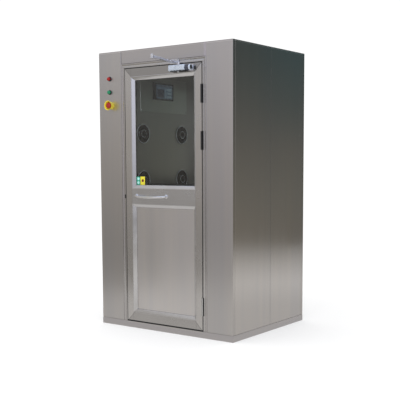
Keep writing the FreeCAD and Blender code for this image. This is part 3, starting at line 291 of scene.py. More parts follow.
seal = []
for side, breaks, outward, inward in ((1, hinge_spans, lip_out, web),
                                      (-1, (contact_span,), lock_lip_out, lock_web)):
    foot = sill_top - 0.003
    for low, high in breaks:
        seal += seal_length(side, foot, low, outward, inward)
        foot = high
    seal += seal_length(side, foot, frame_head + lip_out, outward, inward)
lip_end = frame_edge + lip_out
seal.append(block((-lip_end, lip_face, frame_head - web), (lip_end, lip_back, frame_head + lip_out), seal_round))
seal.append(block((-frame_edge, lip_face, frame_head - web), (frame_edge, web_back, frame_head), seal_round))
seal.append(block((-lip_end, -0.5016, sill_top - 0.0030), (lip_end, -0.49990, sill_top + 0.0012), 0.0004))
fit_both_ends(joined(seal), "door_seal", rubber, "black_rubber")
sweep = block((-0.3586, -0.5012, 0.0522), (0.3586, -0.49995, 0.0576), 0.0004)
fit_both_ends(sweep, "door_sweep", rubber, "black_rubber", "door")


# Chamber: inner walls, floor and ceiling of thinner brushed sheet, a little duller than outside.
inner_steel = brushed("inner_steel", (0.50, 0.49, 0.465), upright, sideways, smooth=0.28, rough=0.40)
floor_steel = brushed("floor_steel", (0.50, 0.49, 0.465), (420.0, 2.0, 2.0), (0.0, 1.0, 0.0), smooth=0.3,
                      rough=0.45)
dress(inner_steel, "inner_walls", "return_grilles")
dress(floor_steel, "floor_plate", "ceiling_panel")


# Nozzles: dark plated bowls pressed into the walls, each with a turned ball that swivels in it.
# A ring trims the bowl's rim and another the ball's mouth. Both are pale and nearly non-metallic, a painted
# highlight in place of their chrome gloss.
def polished(name, tint, roughness, marks, uneven=0.93):
    """Polished or plated metal with faint wipe marks in its gloss."""
    material, tree, shader = new_material(name, 1.0, roughness, tint)
    wipe = noise_field(tree, (marks, marks, marks), 5.0)
    tree.links.new(spread_over(tree, wipe, roughness * 0.6, roughness * 1.5), shader.inputs["Roughness"])
    tree.links.new(ramp(tree, wipe, shade(tint, uneven), tint), shader.inputs["Base Color"])
    return material


bowl_plating = polished("bowl_plating", (0.022, 0.022, 0.022), 0.14, 40.0)
ball_plating = polished("ball_plating", (0.040, 0.040, 0.042), 0.07, 40.0)
rim_painted_sheen = polished("rim_painted_sheen", (0.95, 0.95, 0.96), 0.3, 60.0)
# Nearly non-metallic, so the pale colour shows as a painted highlight in the dark chamber.
rim_painted_sheen.node_tree.nodes["Principled BSDF"].inputs["Metallic"].default_value = 0.2
bright_chrome = polished("bright_chrome", (0.86, 0.86, 0.87), 0.06, 60.0)
dress(bowl_plating, "nozzle_rings")
rim_radius = 0.0738
mouth_radius = 0.0285
rim_rings = []
for name in [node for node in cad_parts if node.startswith("nozzle_ball")]:
    dress(ball_plating, name)
    low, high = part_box(name)
    side = -1 if low.x < 0 else 1
    middle_y = (low.y + high.y) / 2
    middle_z = (low.z + high.z) / 2
    mouth_x = min(abs(low.x), abs(high.x))
    bpy.ops.mesh.primitive_torus_add(location=(side * 0.3945, middle_y, middle_z), rotation=(0, math.pi / 2, 0),
                                     major_radius=rim_radius, minor_radius=0.0038, major_segments=64,
                                     minor_segments=10)
    rim_rings.append(bpy.context.object)
    bpy.ops.mesh.primitive_torus_add(location=(side * (mouth_x + 0.0008), middle_y, middle_z),
                                     rotation=(0, math.pi / 2, 0), major_radius=mouth_radius,
                                     minor_radius=0.0024, major_segments=48, minor_segments=8)
    fit(bpy.context.object, name.replace("ball", "mouth_ring"), rim_painted_sheen, "nozzle_metal",
        name.replace("nozzle_ball", "nozzle"))
fit(joined(rim_rings), "nozzle_rim_rings", rim_painted_sheen, "nozzle_metal", "cabinet")


# Ceiling lights: a white steel tray with an opal diffuser, sealed to the ceiling.
light_white = moulded("light_white", (0.86, 0.87, 0.86), 0.35)
dress(light_white, "ceiling_lights")


# Air path in the side plenums: spangled zinc sheet scrolls and wheels, cast motors, pleated filters.
def spangled(name):
    material, tree, shader = new_material(name, 1.0, 0.4, (0.6, 0.62, 0.64))
    place = add_node(tree, "TexCoord", {})
    flake = add_node(tree, "TexVoronoi", {"Vector": place.outputs["Object"], "Scale": 90.0})
    tree.links.new(ramp(tree, flake.outputs["Color"], (0.46, 0.49, 0.52), (0.66, 0.68, 0.70), 0.1, 0.9),
                   shader.inputs["Base Color"])
    return material


zinc = spangled("zinc_sheet")
motor_paint = moulded("motor_paint", (0.10, 0.14, 0.18), 0.45, grain=0.001)
filter_paper = moulded("filter_paper", (0.82, 0.82, 0.77), 0.85, grain=0.002)
box_paint = moulded("box_paint", (0.62, 0.63, 0.62), 0.4)
dress(zinc, "blower_housings", "left_blower_wheel", "right_blower_wheel")
dress(motor_paint, "blower_motors")
dress(filter_paper, "air_filters")
dress(box_paint, "control_box")


# Door leaves: stiles and rails of folded stainless, mitred at the four corners, with a butt-jointed
# rail between the window and the lower panel. The stiles are brushed upright and the rails level,
# and each is given its own painted reflection tone.
leaf_half = 0.359
leaf_low = 0.052
leaf_high = 1.972
stile = 0.057
rail = 0.069
weld_width = 0.0018
butt_width = 0.0006
leaf_steel, leaf_tree, leaf_shader = new_material("leaf_steel", 1.0, 0.28, shade(steel_tint, 0.97))
leaf_place = add_node(leaf_tree, "TexCoord", {})
leaf_axes = add_node(leaf_tree, "SeparateXYZ", {"Vector": leaf_place.outputs["Object"]})


def apart(first, second):
    """The distance between two values on the leaf."""
    return maths(leaf_tree, "ABSOLUTE", maths(leaf_tree, "SUBTRACT", first, second))


from_side = maths(leaf_tree, "SUBTRACT", leaf_half, maths(leaf_tree, "ABSOLUTE", leaf_axes.outputs["X"]))
from_middle = apart(leaf_axes.outputs["Z"], (leaf_low + leaf_high) / 2)
from_end = maths(leaf_tree, "SUBTRACT", (leaf_high - leaf_low) / 2, from_middle)
end_rail = maths(leaf_tree, "LESS_THAN", from_end, from_side)
near_end = maths(leaf_tree, "LESS_THAN", from_end, rail)
within = maths(leaf_tree, "GREATER_THAN", from_side, stile)
on_rail = maths(leaf_tree, "MAXIMUM", maths(leaf_tree, "MULTIPLY", end_rail, near_end), within)
mitre = maths(leaf_tree, "LESS_THAN", apart(from_end, from_side), weld_width)
butt = maths(leaf_tree, "LESS_THAN", apart(from_side, stile), butt_width)
joint = maths(leaf_tree, "MAXIMUM", maths(leaf_tree, "MULTIPLY", mitre, near_end), butt)
along = noise_field(leaf_tree, level, 4.0)
upon = noise_field(leaf_tree, upright, 4.0)
leaf_grain = add_node(leaf_tree, "Mix", {0: on_rail, 2: upon, 3: along}).outputs[0]
# Painted reflection: the stiles, end rails and mid rail get lighter and darker copies of one steel tone. The end
# rails darken from the bottom rail to the top as painted shade, and the mid rail is lighter as a painted sheen.
stile_tone = ramp(leaf_tree, leaf_grain, shade(steel_tint, 1.02), shade(steel_tint, 1.10))
rail_shade_by_height = spread_over(leaf_tree, leaf_axes.outputs["Z"], 0.86, 0.70, 0.1, 1.9)
end_grain = ramp(leaf_tree, leaf_grain, shade(steel_tint, 0.97), shade(steel_tint, 1.05))
end_rail_shaded_tone = scaled(leaf_tree, end_grain, rail_shade_by_height)
between = maths(leaf_tree, "MULTIPLY", within, maths(leaf_tree, "SUBTRACT", 1.0, near_end))
mid_rail_painted_sheen = ramp(leaf_tree, leaf_grain, (0.640, 0.640, 0.655), (0.690, 0.690, 0.705))


def toned(where, elsewhere_tone, tone):
    """The second tone where the mask is one, and the first one elsewhere."""
    return add_node(leaf_tree, "Mix", {0: where, 6: elsewhere_tone, 7: tone}, data_type="RGBA").outputs[2]


sheet_tone = toned(on_rail, stile_tone, toned(between, end_rail_shaded_tone, mid_rail_painted_sheen))
weld_tone = (*shade(steel_tint, 0.35), 1)
leaf_tree.links.new(toned(joint, sheet_tone, weld_tone), leaf_shader.inputs["Base Color"])
leaf_haze = noise_field(leaf_tree, (4.0, 4.0, 4.0), 6.0)
leaf_tree.links.new(spread_over(leaf_tree, leaf_haze, 0.2, 0.3), leaf_shader.inputs["Roughness"])
leaf_shader.inputs["Anisotropic"].default_value = 0.5
off_rail = maths(leaf_tree, "SUBTRACT", 1.0, on_rail)
leaf_across = add_node(leaf_tree, "CombineXYZ", {"X": off_rail, "Y": 0.0, "Z": on_rail})
leaf_tree.links.new(leaf_across.outputs[0], leaf_shader.inputs["Tangent"])
leaf_cut = add_node(leaf_tree, "Bump", {"Height": leaf_grain, "Strength": 0.05, "Distance": 0.0004,
                                        "Normal": slight_sway(leaf_tree, 0.006, 2.0)})
leaf_tree.links.new(leaf_cut.outputs["Normal"], leaf_shader.inputs["Normal"])
kick_steel = brushed("kick_steel", shade(steel_tint, 1.26), upright, sideways, smooth=0.34, rough=0.42,
                     sway=0.006)
for door in ("entry_", "exit_"):
    dress(leaf_steel, door + "door_leaf")
    dress(kick_steel, door + "kick_panel")


# Glazing beads: drawn aluminium with a sloped face and a rounded nose, mitred and pressed into the
# rebate. They clamp the pane and the lower panel.
def mitred_ring(half, low, high, section):
    """A closed rectangular ring, from a section of (inward, depth) steps round it, mitred at the corners."""
    middle = (low + high) / 2
    tall = (high - low) / 2
    inward, depth = section[0]
    bpy.ops.mesh.primitive_plane_add(size=2, location=(0, depth, middle), rotation=(math.pi / 2, 0, 0))
    ring = bpy.context.object
    ring.scale = (half - inward, tall - inward, 1)
    bpy.ops.object.transform_apply(location=True, rotation=True, scale=True)
    bpy.ops.object.mode_set(mode="EDIT")
    bpy.ops.mesh.select_all(action="SELECT")
    bpy.ops.mesh.delete(type="ONLY_FACE")
    bpy.ops.mesh.select_mode(type="EDGE")
    bpy.ops.mesh.select_all(action="SELECT")
    for next_inward, next_depth in section[1:] + section[:1]:
        bpy.ops.mesh.extrude_edges_indiv()
        bpy.ops.transform.resize(value=((half - next_inward) / (half - inward), 1,
                                        (tall - next_inward) / (tall - inward)),
                                 center_override=(0, depth, middle))
        bpy.ops.transform.translate(value=(0, next_depth - depth, 0))
        inward, depth = next_inward, next_depth
    bpy.ops.mesh.select_all(action="SELECT")
    bpy.ops.mesh.remove_doubles(threshold=0.000005)
    bpy.ops.object.mode_set(mode="OBJECT")
    return ring


rebate = 0.302
window_span = (1.074, 1.912)
kick_span = (0.120, 0.958)
bead_satin = polished("bead_satin", (0.74, 0.735, 0.74), 0.18, 8.0)
bead_profile = [(0.0, -0.4782), (0.0, -0.5008), (0.0008, -0.5015), (0.0024, -0.5014), (0.0040, -0.5006),
                (0.0100, -0.4962), (0.0170, -0.4908), (0.0236, -0.4855), (0.0266, -0.4828), (0.0277, -0.4808),
                (0.0280, -0.4782)]
beads = [mitred_ring(rebate, low, high, bead_profile) for low, high in (window_span, kick_span)]
fit_both_ends(joined(beads), "glazing_beads", bead_satin, "bead_aluminium", "door", "door_beads")

# Glazing strips: thin black rubber between each bead and the pane, and a deeper one inside the sill.
pane_strip = [(0.0279, -0.4781), (0.0279, -0.4796), (0.0290, -0.4794), (0.0293, -0.4781)]
panel_strip = [(0.0279, -0.4781), (0.0279, -0.4786), (0.0284, -0.4785), (0.0285, -0.4781)]
strips = [mitred_ring(rebate, *window_span, pane_strip), mitred_ring(rebate, *kick_span, panel_strip)]
strips.append(block((-0.2815, -0.4698, 1.0965), (0.2815, -0.4612, 1.1150), 0.0012))
fit_both_ends(joined(strips), "glazing_strips", rubber, "black_rubber", "door")


# Window panes: clear toughened glass, 8 mm, wiped clean.
clear_glass, glass_tree, glass_shader = new_material("clear_glass", 0.0, 0.0, (0.93, 0.97, 0.95))
glass_shader.inputs["Transmission Weight"].default_value = 1.0
glass_shader.inputs["IOR"].default_value = 1.46
smear = noise_field(glass_tree, (6.0, 6.0, 2.0), 6.0)
glass_tree.links.new(spread_over(glass_tree, smear, 0.0, 0.04, 0.45, 0.8), glass_shader.inputs["Roughness"])
dress(clear_glass, "entry_window_glass", "exit_window_glass")

# Stickers on the entry pane: one green with two pale dots, one yellow with a dark dot, cut from vinyl.
green_vinyl = moulded("green_vinyl", (0.01, 0.36, 0.22), 0.35)
yellow_vinyl = moulded("yellow_vinyl", (0.82, 0.72, 0.03), 0.35)
pale_vinyl = moulded("pale_vinyl", (0.45, 0.85, 0.80), 0.4)
dark_vinyl = moulded("dark_vinyl", (0.16, 0.02, 0.012), 0.4)
pane_face = -0.4780


def sticker(low_x, high_x, low_z, high_z):
    return block((low_x, pane_face - 0.0003, low_z), (high_x, pane_face - 0.00005, high_z), 0.0001)


def dot(x, z, radius):
    bpy.ops.mesh.primitive_circle_add(vertices=32, radius=radius, fill_type="NGON",
                                      location=(x, pane_face - 0.0003, z), rotation=(math.pi / 2, 0, 0))
    bpy.ops.object.mode_set(mode="EDIT")
    bpy.ops.mesh.extrude_region_move(TRANSFORM_OT_translate={"value": (0, -0.0002, 0)})
    bpy.ops.object.mode_set(mode="OBJECT")
    return bpy.context.object


fit(sticker(-0.2725, -0.2380, 1.1025, 1.1640), "green_sticker", green_vinyl, "green_lens", "entry_door")
fit(joined([dot(-0.2550, 1.1480, 0.0110), dot(-0.2550, 1.1195, 0.0110)]), "green_sticker_dots", pale_vinyl,
    "green_lens", "entry_door")
fit(sticker(-0.2350, -0.1910, 1.1025, 1.1650), "yellow_sticker", yellow_vinyl, "yellow_plastic", "entry_door")
fit(dot(-0.2125, 1.1345, 0.0115), "yellow_sticker_dot", dark_vinyl, "red_plastic", "entry_door")


# Hinges: five steel knuckles on a pin, standing proud of the face, in a pocket of the frame with black
# sheets in it as painted shade. Their tint is painted shade too: dark at the upper ones, plain steel at the low
# one.
hinge_steel = polished("hinge_steel", (0.46, 0.455, 0.45), 0.22, 60.0)
hinge_shaded, hinge_shaded_tree, hinge_shaded_shader = new_material("hinge_steel_painted_shade", 1.0, 0.3, (0.4, 0.4, 0.4))
hinge_shaded_place = add_node(hinge_shaded_tree, "TexCoord", {})
hinge_shaded_spot = add_node(hinge_shaded_tree, "SeparateXYZ", {"Vector": hinge_shaded_place.outputs["Object"]})
hinge_mottle = noise_field(hinge_shaded_tree, (40.0, 40.0, 12.0), 4.0)
hinge_mottled_tone = ramp(hinge_shaded_tree, hinge_mottle, (0.52, 0.52, 0.51), (0.60, 0.60, 0.59))
# Painted shade: the hinge tint darkens from the low hinge up to the upper ones.
hinge_shade_by_height = spread_over(hinge_shaded_tree, hinge_shaded_spot.outputs["Z"], 1.0, 0.12, 0.5, 1.3)
hinge_shaded_tree.links.new(scaled(hinge_shaded_tree, hinge_mottled_tone, hinge_shade_by_height), hinge_shaded_shader.inputs["Base Color"])
handle_chrome = polished("handle_chrome", (0.93, 0.93, 0.94), 0.05, 60.0)
for door in ("entry_", "exit_"):
    dress(hinge_shaded, door + "door_hinges")
    dress(handle_chrome, door + "pull_handle")
dress(hinge_shaded, "frame_hinges")
dress(rubber, "door_gaskets")
# Black sheets in the hinge pockets, painted shade where the pocket is only in shadow.
pocket_shade_sheets = []
for low, high in hinge_spans:
    pocket_shade_sheets.append(block((0.3622, -0.4956, low + 0.0003), (0.3683, -0.4932, high - 0.0003), 0.0004))
    pocket_shade_sheets.append(block((0.3683, -0.4997, low + 0.0003), (0.3744, -0.4932, high - 0.0003), 0.0008))
fit_both_ends(joined(pocket_shade_sheets), "hinge_pocket_shade", rubber, "black_rubber")


# Door closers: a die-cast body in silver enamel with chamfered edges, a dark band round the spring
# tube, an end cap with a black face and its adjusting screw, plated arms up to the shoe, and a black
# strip under the body that is painted shade.
closer_silver = polished("closer_silver", (0.66, 0.73, 0.84), 0.30, 30.0)
closer_silver.node_tree.nodes["Principled BSDF"].inputs["Metallic"].default_value = 0.55
arm_steel = polished("arm_steel", (0.80, 0.81, 0.86), 0.16, 60.0)
closer_navy = moulded("closer_navy", (0.050, 0.056, 0.080), 0.35)
black_plastic = moulded("black_plastic", (0.014, 0.014, 0.015), 0.4)


def turned(steps, place, turn=(0, 0, 0), sides=48):
    """A turned piece: a disc extruded through the steps, each (height, radius), then turned into place."""
    height, radius = steps[0]
    bpy.ops.mesh.primitive_circle_add(vertices=sides, radius=radius, fill_type="NGON", location=(0, 0, height))
    bpy.ops.object.mode_set(mode="EDIT")
    for next_height, next_radius in steps[1:]:
        bpy.ops.mesh.extrude_region_move(TRANSFORM_OT_translate={"value": (0, 0, next_height - height)})
        share = next_radius / radius
        bpy.ops.transform.resize(value=(share, share, 1), center_override=(0, 0, next_height))
        height, radius = next_height, next_radius
    bpy.ops.object.mode_set(mode="OBJECT")
    piece = bpy.context.object
    bpy.ops.object.transform_apply(location=True, rotation=True, scale=True)
    piece.rotation_euler = turn
    piece.location = place
    return piece


facing_front = (math.pi / 2, 0, 0)
facing_right = (0, math.pi / 2, 0)


def screw_head(place, radius, turn=facing_front):
    """A domed screw head with a socket."""
    steps = [(0.0, radius), (radius * 0.25, radius * 0.98), (radius * 0.45, radius * 0.82),
             (radius * 0.55, radius * 0.55), (radius * 0.56, radius * 0.42), (radius * 0.2, radius * 0.40)]
    return turned(steps, place, turn, 20)


body_low = (0.092, -0.546, 1.9212)
body_high = (0.240, -0.503, 1.9630)
foot_chamfer = 0.012
cast = block(body_low, body_high, 0.0060, 1)
bpy.ops.object.mode_set(mode="EDIT")
bpy.ops.mesh.select_all(action="SELECT")
bpy.ops.mesh.bisect(plane_co=(0, body_low[1], body_low[2] + foot_chamfer), plane_no=(0, -0.7071, -0.7071),
                    use_fill=True, clear_outer=True)
bpy.ops.mesh.select_all(action="DESELECT")
bpy.ops.object.mode_set(mode="OBJECT")
for face in cast.data.polygons:
    face.select = face.normal.y < -0.99
bpy.ops.object.mode_set(mode="EDIT")
bpy.ops.mesh.select_mode(type="FACE")
bpy.ops.mesh.inset(thickness=0.0025, depth=0.0)
bpy.ops.mesh.inset(thickness=0.0008, depth=-0.0007)
bpy.ops.object.mode_set(mode="OBJECT")
tube_y = -0.5248
tube_z = 1.9420
band_end = 0.2735
band = turned([(0.0, 0.0206), (0.001, 0.0214), (0.0325, 0.0214), (0.0335, 0.0206)],
              (body_high[0], tube_y, tube_z), facing_right)
cap = turned([(0.0, 0.0196), (0.0006, 0.0206), (0.0075, 0.0208), (0.0098, 0.0200), (0.0125, 0.0172),
              (0.0128, 0.0158), (0.0110, 0.0156)], (band_end, tube_y, tube_z), facing_right)
plate = block((0.096, -0.5029, 1.9192), (0.289, -0.5002, 1.9620), 0.0010)
fit_both_ends(joined([cast, cap]), "closer_casting", closer_silver, "closer_silver", "door", "closer_body")
end_face = turned([(0.0, 0.0156), (0.0004, 0.0156), (0.0006, 0.0150), (0.0007, 0.0062), (0.0026, 0.0058),
                   (0.0026, 0.0030), (0.0012, 0.0026)], (band_end + 0.0110, tube_y, tube_z), facing_right, 32)
fit_both_ends(end_face, "closer_end_face", black_plastic, "black_plastic", "door")
fit_both_ends(band, "closer_band", closer_navy, "black_plastic", "door")
# Painted shade: a black strip under the casting stands for its shadow on the leaf.
closer_shade_strip = block((0.104, -0.5405, 1.9170), (body_high[0], -0.5032, 1.9216), 0.0012)
fit_both_ends(closer_shade_strip, "closer_painted_shade", black_plastic, "black_plastic", "door")
fit_both_ends(plate, "closer_plate", arm_steel, "arm_steel", "door")
for door in ("entry_", "exit_"):
    dress(arm_steel, door + "closer_main_arm", door + "closer_forearm")
dress(arm_steel, "closer_shoes")
shoe_screws = [screw_head((x, -0.5040, z), 0.0045) for x, z in ((0.148, 2.003), (0.148, 1.985), (0.126, 2.003))]
fit_both_ends(joined(shoe_screws), "shoe_screws", hinge_steel, "hinge_steel")
spindle_cap = turned([(0.0, 0.0100), (0.0035, 0.0100), (0.0050, 0.0085), (0.0052, 0.0030)],
                     (0.172, -0.524, 1.9172), (math.pi, 0, 0), 32)
fit_both_ends(spindle_cap, "spindle_cap", bright_chrome, "chrome", "main_arm")
elbow_sleeve = turned([(0.0, 0.0126), (0.0008, 0.0134), (0.0102, 0.0134), (0.0112, 0.0126), (0.0114, 0.0088),
                       (0.0176, 0.0086), (0.0186, 0.0076), (0.0188, 0.0030)], (0.150, -0.790, 1.9981))
fit_both_ends(elbow_sleeve, "elbow_sleeve", bright_chrome, "chrome", "forearm")


# Pilot lamps: a black threaded bezel on the left pillar with a coloured moulded lens.
lamp_red = moulded("lamp_red", (0.40, 0.007, 0.003), 0.22, coat=0.15, uneven=0.5)
lamp_green = moulded("lamp_green", (0.002, 0.34, 0.155), 0.22, coat=0.15, uneven=0.5)
panel_face = -0.500
lamps_x = -0.515
for colour, material, lamp_z in (("red", lamp_red, 1.908), ("green", lamp_green, 1.807)):
    place = (lamps_x, panel_face, lamp_z)
    bezel = turned([(0.0, 0.0180), (0.0022, 0.0180), (0.0030, 0.0172), (0.0068, 0.0168), (0.0080, 0.0156),
                    (0.0080, 0.0142), (0.0072, 0.0136)], place, facing_front)
    fit(bezel, colour + "_lamp_bezel", black_plastic, "black_plastic", "cabinet")
    lens = turned([(0.0060, 0.0135), (0.0150, 0.0134), (0.0185, 0.0122), (0.0215, 0.0098), (0.0232, 0.0064),
                   (0.0240, 0.0030), (0.0240, 0.0010)], place, facing_front)
    fit(lens, colour + "_lamp_lens", material, colour + "_lens", "cabinet", colour + "_lamp")


# Emergency stop: a flared yellow guard collar, and a red mushroom head on its stem just inside the rim.
guard_yellow = moulded("guard_yellow", (0.86, 0.69, 0.045), 0.32, coat=0.3, uneven=0.93)
stop_red = moulded("stop_red", (0.40, 0.008, 0.003), 0.40, coat=0.1, uneven=0.7)
stop_place = (-0.500, panel_face, 1.706)
collar = turned([(0.0, 0.0265), (0.0002, 0.0285), (0.0180, 0.0296), (0.0270, 0.0309), (0.0340, 0.0327),
                 (0.0390, 0.0346), (0.0418, 0.0361), (0.0427, 0.0362), (0.0430, 0.0354), (0.0420, 0.0338),
                 (0.0390, 0.0322), (0.0340, 0.0302), (0.0270, 0.0283), (0.0170, 0.0268), (0.0150, 0.0255),
                 (0.0150, 0.0118)], stop_place, facing_front, 64)
fit(collar, "stop_guard", guard_yellow, "yellow_plastic", "cabinet", "stop_collar")
head = turned([(0.0253, 0.0145), (0.0288, 0.0158), (0.0296, 0.0205), (0.0306, 0.0217), (0.0340, 0.0220),
               (0.0368, 0.0212), (0.0390, 0.0190), (0.0400, 0.0160), (0.0399, 0.0125), (0.0391, 0.0106),
               (0.0404, 0.0096), (0.0418, 0.0076), (0.0423, 0.0038), (0.0423, 0.0010)],
              stop_place, facing_front, 64)
fit(head, "stop_mushroom", stop_red, "red_plastic", "stop_head", "stop_head")
dress(black_plastic, "stop_stem", "door_locks", "cable_gland")


# Control cover and touch display inside the chamber: a folded steel cover on four screws,
# with the display's black frame and its glass let into it.
display_black = moulded("display_black", (0.003, 0.0035, 0.004), 0.45, coat=0.0)
cover_steel = brushed("cover_steel", (0.62, 0.635, 0.59), upright, sideways, smooth=0.3, rough=0.4)
dress(display_black, "touch_display")
dress(cover_steel, "control_cover")


def lit(name, colour):
    """Display glass with a faint glow of its own."""
    material, tree, shader = new_material(name, 0.0, 0.12, shade(colour, 0.3))
    tone = noise_field(tree, (9.0, 9.0, 5.0), 2.0)
    tree.links.new(ramp(tree, tone, shade(colour, 0.75), colour), shader.inputs["Emission Color"])
    shader.inputs["Emission Strength"].default_value = 0.5
    return material


screen_x = -0.3905
screen = block((screen_x - 0.0004, -0.0870, 1.7812), (screen_x + 0.0003, 0.1180, 1.8908), 0.0002)
fit(screen, "display_glass", lit("display_glow", (0.055, 0.085, 0.115)), "display_black", "cabinet")


def tile(low_y, high_y, low_z, high_z):
    return block((screen_x + 0.0003, low_y, low_z), (screen_x + 0.0007, high_y, high_z), 0.0001)


dark_tiles = [tile(-0.0780, 0.0100, 1.7900, 1.8560), tile(-0.0780, 0.1090, 1.8780, 1.8850)]
field_glow = lit("display_field_glow", (0.018, 0.022, 0.034))
fit(joined(dark_tiles), "display_fields", field_glow, "display_black", "cabinet")
pale_tiles = [tile(0.0260, 0.0360, 1.7900, 1.8640)]
pale_tiles += [tile(0.0480, 0.1060, low_z, low_z + 0.0180) for low_z in (1.7900, 1.8180, 1.8460)]
key_glow = lit("display_key_glow", (0.12, 0.17, 0.20))
fit(joined(pale_tiles), "display_keys", key_glow, "display_black", "cabinet")
cover_screws = [screw_head((-0.3970, y, z), 0.0050, facing_right)
                for y in (-0.262, 0.307) for z in (1.683, 1.927)]
fit(joined(cover_screws), "cover_screws", bright_chrome, "chrome", "cabinet")


# Studio: a pale floor, a white surround, and grey cards that only the gloss sees, like a plain room,
# with one brighter soft box overhead for the round bright pieces.
def glowing(name, stops, outward=False):
    """A card whose glow changes from the floor up, or outward from the cabinet: stops of (metres, colour)."""
    material = bpy.data.materials.new(name)
    material.use_nodes = True
    tree = material.node_tree
    tree.nodes.remove(tree.nodes["Principled BSDF"])
    place = add_node(tree, "TexCoord", {}).outputs["Object"]
    if outward:
        reach = add_node(tree, "VectorMath", {0: place}, operation="LENGTH").outputs["Value"]
    else:
        reach = add_node(tree, "SeparateXYZ", {"Vector": place}).outputs["Z"]
    full = stops[-1][0]
    scale = add_node(tree, "ValToRGB", {"Fac": maths(tree, "DIVIDE", reach, full)})
    for stop_index, (distance, colour) in enumerate(stops):
        if stop_index > 1:
            scale.color_ramp.elements.new(distance / full)
        scale.color_ramp.elements[stop_index].position = distance / full
        scale.color_ramp.elements[stop_index].color = (*colour, 1)
    light = add_node(tree, "Emission", {"Color": scale.outputs["Color"]})
    tree.links.new(light.outputs[0], tree.nodes["Material Output"].inputs["Surface"])
    return material


def only_in_reflections(made, material):
    bpy.ops.object.transform_apply(location=True, rotation=True, scale=True)
    made.data.materials.append(material)
    made.visible_camera = False
    made.visible_diffuse = False
    made.visible_shadow = False


def card(name, start, end, stops):
    """An upright card from start to end on the floor, as high as its last stop."""
    middle = (Vector(start) + Vector(end)) / 2
    run = Vector(end) - Vector(start)
    height = stops[-1][0]
    bpy.ops.mesh.primitive_plane_add(size=1, location=(middle.x, middle.y, height / 2),
                                     rotation=(math.pi / 2, 0, math.atan2(run.y, run.x)))
    made = bpy.context.object
    made.name = name
    made.scale = (run.length, height, 1)
    only_in_reflections(made, glowing(name + "_glow", stops))


def level_card(name, height, stops):
    bpy.ops.mesh.primitive_plane_add(size=30, location=(0, 0, height))
    made = bpy.context.object
    made.name = name
    only_in_reflections(made, glowing(name + "_glow", stops, True))


bpy.ops.mesh.primitive_plane_add(size=60, location=(0, 0, -0.0005))
studio_floor = bpy.context.object
studio_floor.name = "studio_floor"
bpy.ops.object.transform_apply(location=True)
floor_paint, floor_tree, floor_shader = new_material("floor_paint", 0.0, 0.9, (0.62, 0.62, 0.62))
floor_shader.inputs["Specular IOR Level"].default_value = 0.1
floor_shader.inputs["Emission Color"].default_value = (1, 1, 1, 1)
floor_shader.inputs["Emission Strength"].default_value = 0.38
studio_floor.data.materials.append(floor_paint)

card_height = 4.2
front_left = (-2.96, 0.26)
front_turn = (-0.75, -2.83)
front_dark = (0.28, -4.27)
front_end = (2.19, -6.94)
card("front_card", front_left, front_turn,
     [(0.0, (0.30, 0.285, 0.265)), (0.45, (0.290, 0.275, 0.255)), (0.93, (0.350, 0.330, 0.305)),
      (1.40, (0.410, 0.388, 0.360)), (1.88, (0.475, 0.455, 0.440)), (2.30, (0.535, 0.525, 0.525)),
      (card_height, (0.60, 0.60, 0.62))])
card("front_light_card", front_turn, front_dark,
     [(0.0, (0.42, 0.40, 0.41)), (1.2, (0.52, 0.49, 0.53)), (card_height, (0.70, 0.68, 0.74))])
card("front_dark_card", front_dark, front_end,
     [(0.0, (0.26, 0.25, 0.24)), (card_height, (0.34, 0.33, 0.33))])
card("camera_card", (0.97, -9.75), (9.0, -3.85),
     [(0.0, (0.34, 0.33, 0.33)), (0.7, (0.44, 0.44, 0.47)), (1.3, (0.54, 0.54, 0.60)),
      (2.0, (0.70, 0.71, 0.80)), (card_height, (0.84, 0.87, 1.0))])
card("right_card", (9.0, -3.85), (9.5, 1.8),
     [(0.0, (0.40, 0.39, 0.37)), (card_height, (0.62, 0.62, 0.62))])
card("side_card", (9.5, 1.8), (4.0, 5.1),
     [(0.0, (0.195, 0.172, 0.142)), (0.37, (0.205, 0.190, 0.158)), (0.73, (0.190, 0.180, 0.155)),
      (1.44, (0.145, 0.140, 0.122)), (2.36, (0.096, 0.098, 0.088)), (2.8, (0.076, 0.080, 0.072)),
      (card_height, (0.055, 0.075, 0.078))])
card("side_rear_card", (4.0, 5.1), (-4.0, 9.9),
     [(0.0, (0.19, 0.175, 0.150)), (0.37, (0.19, 0.180, 0.155)), (0.73, (0.180, 0.175, 0.152)),
      (1.44, (0.150, 0.148, 0.132)), (2.1, (0.092, 0.110, 0.105)), (2.8, (0.066, 0.100, 0.102)),
      (card_height, (0.05, 0.085, 0.09))])
card("left_card", (-4.0, 9.9), (-6.0, -2.0),
     [(0.0, (0.34, 0.33, 0.31)), (card_height, (0.58, 0.58, 0.58))])
bpy.ops.mesh.primitive_plane_add(size=1, location=(-3.4, -3.6, 4.15))
soft_box = bpy.context.object
soft_box.name = "soft_box_card"
soft_box.scale = (3.0, 1.6, 1)
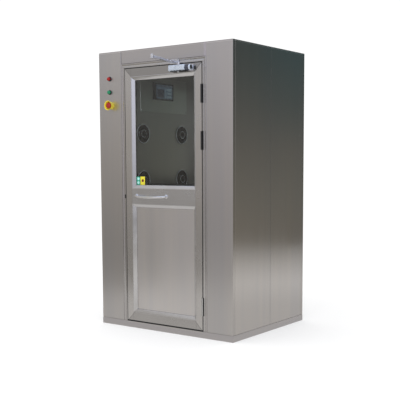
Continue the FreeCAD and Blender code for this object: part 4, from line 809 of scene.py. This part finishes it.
soft_glow = glowing("soft_box_glow", [(0.0, (1, 1, 1)), (10.0, (1, 1, 1))])
soft_glow.node_tree.nodes["Emission"].inputs["Strength"].default_value = 1.7
only_in_reflections(soft_box, soft_glow)
ceiling_tone = (0.65, 0.72, 0.90)
level_card("ceiling_card", card_height, [(0.0, ceiling_tone), (10.0, ceiling_tone)])
level_card("floor_card", 0.0002,
           [(0.0, (0.57, 0.555, 0.54)), (1.5, (0.60, 0.585, 0.57)), (2.8, (0.71, 0.695, 0.675)),
            (4.0, (0.60, 0.585, 0.565)), (5.2, (0.46, 0.445, 0.42)), (6.6, (0.33, 0.32, 0.30)),
            (10.0, (0.30, 0.29, 0.28))])

world = bpy.data.worlds.new("studio")
bpy.context.scene.world = world
world.use_nodes = True
world.node_tree.nodes["Background"].inputs["Color"].default_value = (1, 1, 1, 1)
world.node_tree.nodes["Background"].inputs["Strength"].default_value = 1.06

bpy.ops.object.light_add(type="AREA", location=(-0.5, -2.0, 4.6))
overhead = bpy.context.object
overhead.data.shape = "RECTANGLE"
overhead.data.size = 4.0
overhead.data.size_y = 3.0
overhead.data.energy = 40.0
overhead.data.color = (0.95, 0.97, 1.0)
overhead.rotation_euler = (math.radians(20), 0, 0)
overhead.visible_camera = False


# Camera: as far away and as long as the photograph's, with its picture centre shifted as there.
camera_azimuth = math.radians(36.262)
camera_pitch = math.radians(5.719)
camera_roll = math.radians(-0.242)
bpy.ops.object.camera_add(location=(3.73404, -5.09664, 1.28822))
camera = bpy.context.object
forward = Vector((-math.sin(camera_azimuth) * math.cos(camera_pitch),
                  math.cos(camera_azimuth) * math.cos(camera_pitch), -math.sin(camera_pitch)))
camera.rotation_mode = "QUATERNION"
camera.rotation_quaternion = forward.to_track_quat("-Z", "Y") @ Quaternion((0, 0, 1), camera_roll)
camera.data.sensor_width = 36.0
camera.data.lens = 71.889
camera.data.shift_x = -0.0064
camera.data.shift_y = 0.0999
bpy.context.scene.camera = camera
bpy.context.scene.view_settings.view_transform = "Standard"
